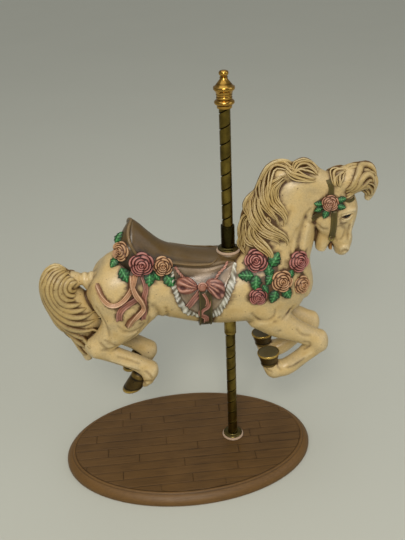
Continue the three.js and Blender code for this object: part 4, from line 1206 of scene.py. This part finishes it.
def piece(name, shells, materials, attributes=None, sharp=None):
    """One object of many closed shells, its place in its mesh; a shell's paint picks its material."""
    start = np.cumsum([0] + [len(s.points) for s in shells])
    points = np.vstack([s.points for s in shells]) * MM
    quads = [s.quads + at for s, at in zip(shells, start)]
    tris = [s.tris + at for s, at in zip(shells, start)]
    names = list(materials)
    paint = np.concatenate(
        [np.full(len(s.quads), names.index(s.paint)) for s in shells]
        + [np.full(len(s.tris), names.index(s.paint)) for s in shells]
    )
    mesh = bpy.data.meshes.new(name)
    mesh.from_pydata(points.tolist(), [], np.vstack(quads).tolist() + np.vstack(tris).tolist())
    for material in materials.values():
        mesh.materials.append(material)
    mesh.polygons.foreach_set("material_index", paint.astype(np.int32))
    mesh.polygons.foreach_set("use_smooth", np.ones(len(paint), bool))
    for title, values in (attributes or {}).items():
        mesh.attributes.new(title, "FLOAT", "POINT").data.foreach_set("value", np.asarray(values, np.float32))
    if sharp:
        mesh.set_sharp_from_angle(angle=np.radians(sharp))
    mesh.update()
    made = bpy.data.objects.new(name, mesh)
    bpy.context.scene.collection.objects.link(made)
    return made


def stand_for(made, node):
    """The piece moves with the whole part and hides the CAD node it stands for."""
    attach(made, "root")
    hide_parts(node)


def thinned(shell, faces):
    """The shell with about this many triangles, by collapsing the edges that matter least to its form."""
    rough = piece("cast_rough", [shell], {shell.paint: None})
    modifier = rough.modifiers.new("Thin", "DECIMATE")
    modifier.ratio = min(1.0, faces / (2 * len(shell.quads) + len(shell.tris)))
    ready = rough.evaluated_get(bpy.context.evaluated_depsgraph_get()).to_mesh()
    ready.calc_loop_triangles()
    points = np.empty(len(ready.vertices) * 3, np.float32)
    ready.vertices.foreach_get("co", points)
    tris = np.empty(len(ready.loop_triangles) * 3, np.int32)
    ready.loop_triangles.foreach_get("vertices", tris)
    mesh = rough.data
    bpy.data.objects.remove(rough)
    bpy.data.meshes.remove(mesh)
    return Shell(points.reshape(-1, 3) / MM, np.empty((0, 4)), tris.reshape(-1, 3), shell.paint)


def crowding(field, shells):
    """For every point, how much matter is round it at two distances: one half on a flat, more in a hollow."""
    points = np.vstack([s.points for s in shells])
    filled = np.clip(0.5 - field / (1.2 * CELL), 0, 1)
    close = sample(blurred(filled, 1.5 / CELL), points)
    wide = sample(blurred(filled, 3.6 / CELL), points)
    return close, wide


# Paint: its material's name; the colours of its coat (or the setting that gives it), its glaze and its
# painted highlight on crowns and edges; then how strongly the glaze shows, roughness, metal, gloss coat and
# grain
PAINTS = {
    # The skirt's third colour is its painted sheen, and the bronze's is a painted gold glint on the hooves.
    "ivory": ("ivory_painted_cast_resin", "IVORY 4e3414 eee2bc", 1.0, 0.36, 0.0, 0.12),
    "hair": ("glazed_ivory_hair_paint", "cab378 5c3f12 e9d7a4", 1.0, 0.38, 0.0, 0.1),
    "saddle": ("brown_painted_cast_resin", "SADDLE 241a10 826a44", 0.6, 0.34, 0.0, 0.15),
    "skirt": ("brown_pearl_paint", "86735c 44331e c4bba8", 0.8, 0.3, 0.25, 1.0),
    "lace": ("silver_white_paint", "c6c8be 5c5240 ecebe4", 0.9, 0.4),
    "rose_mauve": ("mauve_rose_paint", "a8625c 3c1a16 cf958a", 1.0, 0.4),
    "rose_peach": ("peach_rose_paint", "b98a60 4c2b16 dcb88e", 1.0, 0.4),
    "rose_blush": ("blush_rose_paint", "b98a70 57331f dab094", 1.0, 0.4),
    "leaf": ("green_leaf_paint", "2c8a44 0c2c12 86bf84", 1.0, 0.4),
    "ribbon_rose": ("rose_ribbon_paint", "9c6656 4a2620 c99a86", 0.9, 0.38),
    "ribbon_peach": ("peach_ribbon_paint", "c29470 6a4228 e4c09c", 0.9, 0.38),
    "strap": ("olive_gold_strap_paint", "544a22 241e0a 8e8040", 0.9, 0.36, 0.3),
    "girth": ("dark_olive_girth_paint", "4c4426 1c180c 6e6438", 0.9, 0.36, 0.3),
    "bronze": ("bronze_powder_paint", "6c5628 1f180a d8b660", 0.95, 0.26, 0.75),
    "sole": ("olive_sole_paint", "5c553a 2c2716 777050", 0.8, 0.5, 0.1),
    "bit": ("amber_glaze_paint", "96672c 40240e c89a58", 0.9, 0.4),
    "eye": ("black_gloss_paint", "0d0b0a 060505 1c1916", 0.5, 0.12, 0.0, 0.0, 0.2),
}


def build_horse(settings):
    """The whole cast horse: body, relief and saddle joined in one object."""
    body, stain = body_field()
    masses = joined(body, distances([limb(CREST, 0), limb(FORELOCK, 0)]), 2.5)
    masses = joined(masses, distances([limb(TAIL, 0)]), 2)
    angle = np.linspace(0, 2 * np.pi, 40, endpoint=False)
    collar_radius = 11.2
    ring = np.stack([POLE_X + collar_radius * np.cos(angle), collar_radius * np.sin(angle), 0 * angle], -1)
    collar = sweep(
        np.stack([ring + [0, 0, 204], ring + [0, 0, 221.6], ring * [1, 1, 0] + [0, 0, 222.4]]), "saddle"
    )
    seat_shell = seat()
    saddled = Skin(joined(masses, distances([seat_shell]), 1), 1.6)
    relief = hair(Skin(masses)) + trim(saddled) + face(Skin(body, 0.6))
    for side in (NEAR, FAR):
        relief += [skirt(saddled, side), lace(saddled, side)] + bow(saddled, side)
        relief += hoof(*HIND_HOOF, side, (9.6, 0.96), 36) + hoof(*FORE_HOOF, side, (10.4, 0.96))
    relief += [seat_shell, collar, girth()] + welts()
    points, tris, quads = surface(masses)
    cast = thinned(Shell(points, quads, tris, "ivory"), settings.body_triangles)
    shells = [cast] + relief
    whole = np.minimum(masses, distances(relief))
    close, wide = crowding(whole, shells)
    cast.soak = 0.72 * np.clip(1 - sample(stain, cast.points) / 1.5, 0, 1) ** 1.3
    soak = np.concatenate([s.soak for s in shells])
    hollow = np.clip((close - 0.52) / 0.13, 0, 1) ** 1.1 * 0.9 + np.clip((wide - 0.54) / 0.18, 0, 1) * 0.55
    hollow = np.maximum(hollow, soak)
    # Painted highlight: points with little matter close round them, the crowns and edges, are made paler.
    edge = np.clip((0.47 - close) / 0.2, 0, 1)
    chosen = {"IVORY": settings.ivory[:] + (1,), "SADDLE": settings.saddle[:] + (1,)}
    materials = {
        paint: painted(name, *(chosen.get(code) or linear(code) for code in codes.split()), *rest)
        for paint, (name, codes, *rest) in PAINTS.items()
    }
    made = piece("horse_cast", shells, materials, {"hollow": hollow, "edge": edge})
    stand_for(made, "horse")


def surface(field):
    """The surface where the distance is zero, as points and faces."""
    grid = openvdb.FloatGrid(float(BAND * CELL))
    grid.transform = GRID
    grid.copyFromArray(field, ijk=tuple(int(v) for v in FIRST))
    return grid.convertToPolygons(isovalue=0.0, adaptivity=0.0)


def lathe(name, node, profile, material, hollow=None, sharp=35, sides=72):
    """A turned ring or knob on the pole's axis: radius and height, in mm from the node's own foot."""
    low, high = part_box(node)
    rows = np.asarray(profile, float)
    angle = np.linspace(0, 2 * np.pi, sides, endpoint=False)
    centre = (low + high) / 2 / MM
    x = centre[0] + rows[:, :1] * np.cos(angle)
    y = centre[1] + rows[:, :1] * np.sin(angle)
    z = np.broadcast_to(low[2] / MM + rows[:, 1:], x.shape)
    shell = sweep(np.stack([x, y, z], -1), "all")
    dark = np.zeros(len(shell.points)) if hollow is None else np.append(np.repeat(hollow, sides), [0, 0])
    made = piece(name, [shell], {"all": material}, {"hollow": dark}, sharp)
    stand_for(made, node)


def build_pole(settings):
    """The grooved tube: rows follow the spiral, so the groove's edges run true round it."""
    low, high = (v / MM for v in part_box("pole"))
    radius = (high[0] - low[0]) / 2
    centre_x = (high[0] + low[0]) / 2
    pitch, width, depth = settings.pitch * 1000, settings.groove * 1000, 0.75
    sides = 56
    steps = np.array([-0.5, -0.3, 0, 0.3, 0.5, 0.75, 0.9]) * width
    steps = np.concatenate([steps, np.linspace(1.6 * width, pitch - 0.9 * width, 5)])
    cut = np.array([0.0, 0.85, 1.0, 0.85, 0.0, -0.12, 0.0, 0, 0, 0, 0, -0.0]) * depth
    per = len(steps)
    turns = int(np.ceil((high[2] - low[2]) / pitch)) + 3
    run = (np.arange(turns)[:, None] * pitch + steps).ravel() + low[2] - 1.5 * pitch
    cuts = np.tile(cut, turns)
    angle = np.arange(sides) / sides
    z = run[:, None] + pitch * angle
    held = np.clip(z, low[2], high[2])
    r = radius - np.where(held == z, cuts[:, None], 0)
    turn = 2 * np.pi * (angle + 0.25)
    points = np.stack([centre_x + r * np.cos(turn), r * np.sin(turn), held], -1)
    rows = len(run)
    index = np.arange(rows * sides).reshape(rows, sides)
    right = np.concatenate([index[:, 1:], np.full((rows, 1), -1)], 1)
    right[:-per, -1] = index[per:, 0]
    use = rows - per - 1
    quads = np.stack([index[:use], right[:use], right[1:use + 1], index[1:use + 1]], -1).reshape(-1, 4)
    hollow = (cuts[:, None] > 0.1 * depth) * np.ones(sides)
    shell = Shell(points.reshape(-1, 3), quads, np.empty((0, 3)), "all")
    material = metal("antique_brass_tube", linear("7c6a30"), linear("231c0c"), 0.26, 0.7, 90.0)
    made = piece("spiral_pole", [shell], {"all": material}, {"hollow": hollow.ravel()})
    closed = bmesh.new()
    closed.from_mesh(made.data)
    bmesh.ops.remove_doubles(closed, verts=closed.verts, dist=TINY)
    bmesh.ops.dissolve_degenerate(closed, edges=closed.edges, dist=TINY)
    bmesh.ops.delete(closed, geom=[v for v in closed.verts if not v.link_faces], context="VERTS")
    bmesh.ops.holes_fill(closed, edges=[e for e in closed.edges if e.is_boundary], sides=0)
    closed.to_mesh(made.data)
    closed.free()
    made.data.polygons.foreach_set("use_smooth", np.ones(len(made.data.polygons), bool))
    made.data.set_sharp_from_angle(angle=np.radians(50))
    stand_for(made, "pole")


def build_fittings(settings):
    """Washers, flanges, sleeve and ferrule on the pole, and the finial on its top."""
    bright = metal("polished_brass", linear("c59a4a"), linear("5c431a"), 0.15, 0.4, 200.0)
    aged = metal("aged_brass_flange", linear("6e6238"), linear("221c10"), 0.26, 0.5, 150.0)
    dark = metal("blackened_brass_sleeve", linear("3a3418"), linear("15120a"), 0.24, 0.5, 150.0)
    olive = metal("olive_brass_ferrule", linear("a08a45"), linear("3f3216"), 0.34, 0.5, 150.0)
    cloth = felt("pressed_felt_washer", linear("c9b196"), linear("97795f"))
    bore = 5.0
    washer = [(10.2, 0), (10.5, 0.35), (10.45, 1.3), (10.1, 1.8), (9.6, 2.0), (bore, 2.0)]
    flange = [(9.3, 0), (9.4, 0.2), (9.4, 0.8), (9.1, 1.15), (7.8, 1.4), (6.8, 1.7), (6.3, 2.2), (bore, 2.2)]
    sleeve = [(6.0, 0), (6.1, 0.3), (6.1, 18.2), (5.9, 18.7), (6.1, 19.1), (6.0, 19.8), (5.6, 20), (bore, 20)]
    ferrule = [(5.4, 0), (5.6, 0.3), (5.6, 1.6), (5.35, 2.0), (5.6, 2.4), (5.6, 14.6), (5.4, 15), (bore, 15)]
    for name, node, rows, material, slot in (
        ("felt_washer_base", "base_washer", washer, cloth, "felt_washer"),
        ("felt_washer_saddle", "saddle_washer", washer, cloth, "felt_washer"),
        ("brass_flange_base", "base_flange", flange, aged, "aged_brass"),
        ("brass_flange_saddle", "saddle_flange", flange, aged, "aged_brass"),
        ("brass_sleeve", "sleeve", sleeve, dark, "aged_brass"),
        ("brass_ferrule", "ferrule", ferrule, olive, "aged_brass"),
    ):
        lathe(name, node, [(bore, 0), *rows, (bore, 0)], material, sides=60)
    profile = [
        (0.02, 0), (6.0, 0), (6.2, 0.3), (6.2, 2.1), (5.9, 2.3), (6.4, 2.6), (7.5, 3.1), (8.2, 3.9),
        (8.3, 4.7), (8.1, 5.5), (7.4, 6.3), (6.5, 6.8), (6.0, 7.1), (6.1, 7.5), (6.5, 7.7), (6.6, 8.6),
        (6.3, 8.9), (6.2, 9.6), (6.5, 9.9), (6.7, 10.9), (6.5, 11.1), (6.7, 12.0), (7.2, 13.1),
        (7.9, 14.2), (8.6, 14.8), (8.7, 15.2), (8.7, 16.7), (8.5, 17.1), (7.6, 17.4), (6.9, 18.2),
        (6.0, 19.3), (5.0, 20.6), (4.0, 21.8), (3.3, 22.8), (3.0, 23.6), (3.4, 23.9), (3.4, 24.3),
        (2.8, 24.7), (2.9, 25.3), (3.5, 25.9), (3.9, 26.8), (3.98, 27.6), (3.8, 28.4), (3.2, 29.1),
        (2.2, 29.5), (1.0, 29.68), (0.02, 29.7),
    ]
    hollow = np.zeros(len(profile))
    hollow[[4, 12, 16, 20, 30, 37]] = 0.7
    lathe("turned_finial", "finial", profile, bright, hollow, 40)


def build_base(settings):
    """The oval: a moulded edge of stacked ellipses, and rows of boards across its top with staggered ends."""
    a, b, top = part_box("base")[1] / MM
    edge = np.array([
        (0.9, 0.0), (0.2, 0.3), (0, 0.9), (0, 3.2), (0.25, 4.2), (0.8, 5.2), (1.6, 6.3), (2.6, 7.4),
        (3.7, 8.4), (4.7, 9.1), (5.4, 9.4), (5.8, 9.45), (6.05, 9.75), (6.3, 10.4), (6.8, 10.85),
        (7.6, 10.98), (8.3, 10.9), (8.7, 10.6), (8.95, 10.5), (9.3, 10.2), (20, 10.0),
    ])
    angle = np.linspace(0, 2 * np.pi, 220, endpoint=False)
    rings = np.stack([
        (a - edge[:, :1]) * np.cos(angle), (b - edge[:, :1]) * np.sin(angle),
        np.broadcast_to(edge[:, 1:], (len(edge), 220)),
    ], -1)
    shells = [sweep(rings, "wood")]
    dark = [np.append(
        np.repeat(
            np.interp(edge[:, 0], [0, 5.4, 5.9, 6.5, 8.2, 8.8, 9.2], [0, 0, 0.45, 0, 0, 0.55, 0.6]), 220
        ),
        [0, 0],
    )]
    # The moulded rim gets a lighter value than any board: painted light on its front.
    board_tone_and_lit_rim = [np.full(len(shells[0].points), -0.12)]
    moulding, rows, seam, draw = 9.05, 13, 0.13, np.random.default_rng(7)
    board, stagger, uneven = 88, 44, 24
    half_x, half_y = a - moulding, b - moulding
    height = 2 * half_y / rows
    for row in range(rows):
        y0 = -half_y + row * height
        joints = np.arange(-220, 230, board) + stagger * (row % 2) + draw.uniform(-uneven, uneven, 6)
        joints = np.sort(joints)
        for x0, x1 in zip(joints[:-1], joints[1:]):
            v = np.array([-1, -0.94, -0.7, -0.3, 0, 0.3, 0.7, 0.94, 1])
            y = y0 + height / 2 + v * (height / 2 - seam)
            y = np.clip(y, -half_y * 0.999, half_y * 0.999)
            chord = half_x * np.sqrt(1 - (y / half_y) ** 2)
            left, right = np.maximum(x0 + seam, -chord), np.minimum(x1 - seam, chord)
            if (right - left).max() < 3:
                continue
            left = np.minimum(left, chord - 0.05)
            right = np.maximum(right, left + 0.05)
            u = np.concatenate([[0, 0.005], np.linspace(0.05, 0.95, 10), [0.995, 1]])[:, None]
            x = left + (right - left) * u
            round_y = np.clip((1 - np.abs(v)) * (height / 2 - seam) / 0.3, 0, 1)
            round_x = np.clip(np.minimum(u, 1 - u) * (right - left) / 0.3, 0, 1)
            z = top - 0.16 * (1 - np.minimum(round_x, round_y) ** 0.5) - 0.02
            up = np.stack([x, np.broadcast_to(y, x.shape), z], -1)
            down = up[:, [-1, 0]] * [1, 1, 0] + [0, 0, 9.6]
            shells.append(sweep(np.concatenate([up, down], 1), "wood"))
            near = draw.uniform(0.1, 0.5) * (1 - np.minimum(round_x, round_y))
            dark.append(np.append(np.concatenate([near, np.full((len(u), 2), 0.6)], 1).ravel(), [0.6, 0.6]))
            board_tone_and_lit_rim.append(np.full(len(shells[-1].points), draw.uniform(0.06, 0.16)))
    material = stained_wood("brown_stained_wood", settings.wood[:] + (1,), linear("1c1004"))
    made = piece(
        "planked_base", shells, {"wood": material},
        {"hollow": np.concatenate(dark), "board": np.concatenate(board_tone_and_lit_rim)}, 50,
    )
    stand_for(made, "base")


def build_stage(settings):
    """A pale floor, soft lights and the camera."""
    mesh = bpy.data.meshes.new("floor")
    mesh.from_pydata([(-9, -9, 0), (9, -9, 0), (9, 9, 0), (-9, 9, 0)], [], [(0, 1, 2, 3)])
    mesh.materials.append(plaster("pale_floor", settings.floor[:] + (1,)))
    floor = bpy.data.objects.new("floor", mesh)
    scene = bpy.context.scene
    scene.collection.objects.link(floor)
    scene.view_settings.view_transform = "Standard"
    scene.world = scene.world or bpy.data.worlds.new("studio")
    scene.world.use_nodes = True
    back = scene.world.node_tree.nodes["Background"].inputs
    back[0].default_value, back[1].default_value = linear("e8e6e0"), settings.fill
    subject = Vector((0.02, 0, 0.2))
    for name, place, size, power, tint in (
        ("key_light", (-0.16, -1.2, 1.12), 0.5, settings.key, "fff8ee"),
        ("side_light", (1.2, -0.5, 0.8), 0.9, settings.key * 0.2, "eef1ff"),
        ("top_light", (0.1, 0.5, 1.5), 1.0, settings.key * 0.15, "ffffff"),
    ):
        lamp = bpy.data.lights.new(name, "AREA")
        lamp.size, lamp.energy, lamp.color = size, power, linear(tint)[:3]
        hang(name, lamp, place, subject - Vector(place))
    sky = bpy.data.lights.new("sky_light", "SUN")
    sky.energy, sky.angle = settings.sky, np.radians(70)
    hang("sky_light", sky, (0, 0, 0), Vector((0.15, 0.3, -1)))
    lens = bpy.data.cameras.new("camera")
    lens.lens = 46.0
    scene.camera = bpy.data.objects.new("camera", lens)
    scene.collection.objects.link(scene.camera)
    azimuth, pitch, roll = np.radians([-4.257, 28.239, -2.650])
    turn = Matrix.Rotation(azimuth, 4, "Z") @ Matrix.Rotation(np.pi / 2 - pitch, 4, "X")
    turn = turn @ Matrix.Rotation(roll, 4, "Z")
    scene.camera.matrix_world = Matrix.Translation(Vector((-18.034, -543.206, 497.666)) * MM) @ turn


def hang(name, lamp, place, aim):
    """Puts a light at a place, shining along aim."""
    stand = bpy.data.objects.new(name, lamp)
    stand.location = place
    stand.rotation_euler = aim.to_track_quat("-Z", "Y").to_euler()
    bpy.context.scene.collection.objects.link(stand)


# ---- The add-on's settings, operators and panel ----

class HorseSettings(bpy.types.PropertyGroup):
    ivory: FloatVectorProperty(name="Ivory", description="Body paint", subtype="COLOR",
        default=linear("cfb987")[:3])
    saddle: FloatVectorProperty(name="Saddle", description="Saddle paint", subtype="COLOR",
        default=linear("5e4a26")[:3])
    body_triangles: IntProperty(name="Body triangles", description="How finely the cast body is kept",
        default=65500, min=20000)


class StandSettings(bpy.types.PropertyGroup):
    wood: FloatVectorProperty(name="Wood", description="Stain of the base", subtype="COLOR",
        default=linear("6b4e28")[:3])
    pitch: FloatProperty(name="Groove pitch", description="Rise of the spiral in one turn", default=0.0133,
        unit="LENGTH")
    groove: FloatProperty(name="Groove width", description="Width of the spiral groove", default=0.0013,
        unit="LENGTH")


class StageSettings(bpy.types.PropertyGroup):
    floor: FloatVectorProperty(name="Floor", description="Floor colour", subtype="COLOR",
        default=linear("bcbeb2")[:3])
    key: FloatProperty(name="Key light", description="Power of the main light", default=13.5, unit="POWER")
    sky: FloatProperty(name="Overhead light", description="Strength of the wide light from above",
        default=0.9)
    fill: FloatProperty(name="Fill", description="Strength of the light from all round", default=0.28)


class CAROUSEL_OT_horse(bpy.types.Operator):
    """Makes the cast horse with its saddle, flowers and bridle"""
    bl_idname = "carousel.horse"
    bl_label = "Horse"

    def execute(self, context):
        build_horse(context.scene.carousel_horse)
        return {"FINISHED"}


class CAROUSEL_OT_pole(bpy.types.Operator):
    """Makes the spiral-grooved brass pole"""
    bl_idname = "carousel.pole"
    bl_label = "Pole"

    def execute(self, context):
        build_pole(context.scene.carousel_stand)
        return {"FINISHED"}


class CAROUSEL_OT_fittings(bpy.types.Operator):
    """Makes the washers, flanges, sleeve, ferrule and finial"""
    bl_idname = "carousel.fittings"
    bl_label = "Fittings and finial"

    def execute(self, context):
        build_fittings(context.scene.carousel_stand)
        return {"FINISHED"}


class CAROUSEL_OT_base(bpy.types.Operator):
    """Makes the oval planked base"""
    bl_idname = "carousel.base"
    bl_label = "Base"

    def execute(self, context):
        build_base(context.scene.carousel_stand)
        return {"FINISHED"}


class CAROUSEL_OT_stage(bpy.types.Operator):
    """Makes the floor, lights and camera"""
    bl_idname = "carousel.stage"
    bl_label = "Stage"

    def execute(self, context):
        build_stage(context.scene.carousel_stage)
        return {"FINISHED"}


class CAROUSEL_PT_panel(bpy.types.Panel):
    """Settings and the pieces in the order they are made"""
    bl_label = "Carousel horse"
    bl_idname = "CAROUSEL_PT_panel"
    bl_space_type = "VIEW_3D"
    bl_region_type = "UI"
    bl_category = "Carousel"

    def draw(self, context):
        for title in GROUPS:
            group = getattr(context.scene, title)
            for name in group.__annotations__:
                self.layout.prop(group, name)
        for operator in OPERATORS:
            self.layout.operator(operator.bl_idname)


GROUPS = {"carousel_horse": HorseSettings, "carousel_stand": StandSettings, "carousel_stage": StageSettings}
OPERATORS = (CAROUSEL_OT_stage, CAROUSEL_OT_base, CAROUSEL_OT_pole, CAROUSEL_OT_fittings, CAROUSEL_OT_horse)
CLASSES = (*GROUPS.values(), *OPERATORS, CAROUSEL_PT_panel)


def register():
    for cls in CLASSES:
        bpy.utils.register_class(cls)
    for name, group in GROUPS.items():
        setattr(bpy.types.Scene, name, PointerProperty(type=group))


def unregister():
    for name in GROUPS:
        delattr(bpy.types.Scene, name)
    for cls in reversed(CLASSES):
        bpy.utils.unregister_class(cls)


def main():
    """Registers the add-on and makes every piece."""
    register()
    bpy.ops.carousel.stage()
    bpy.ops.carousel.base()
    bpy.ops.carousel.pole()
    bpy.ops.carousel.fittings()
    bpy.ops.carousel.horse()


if __name__ == "__main__":
    main()
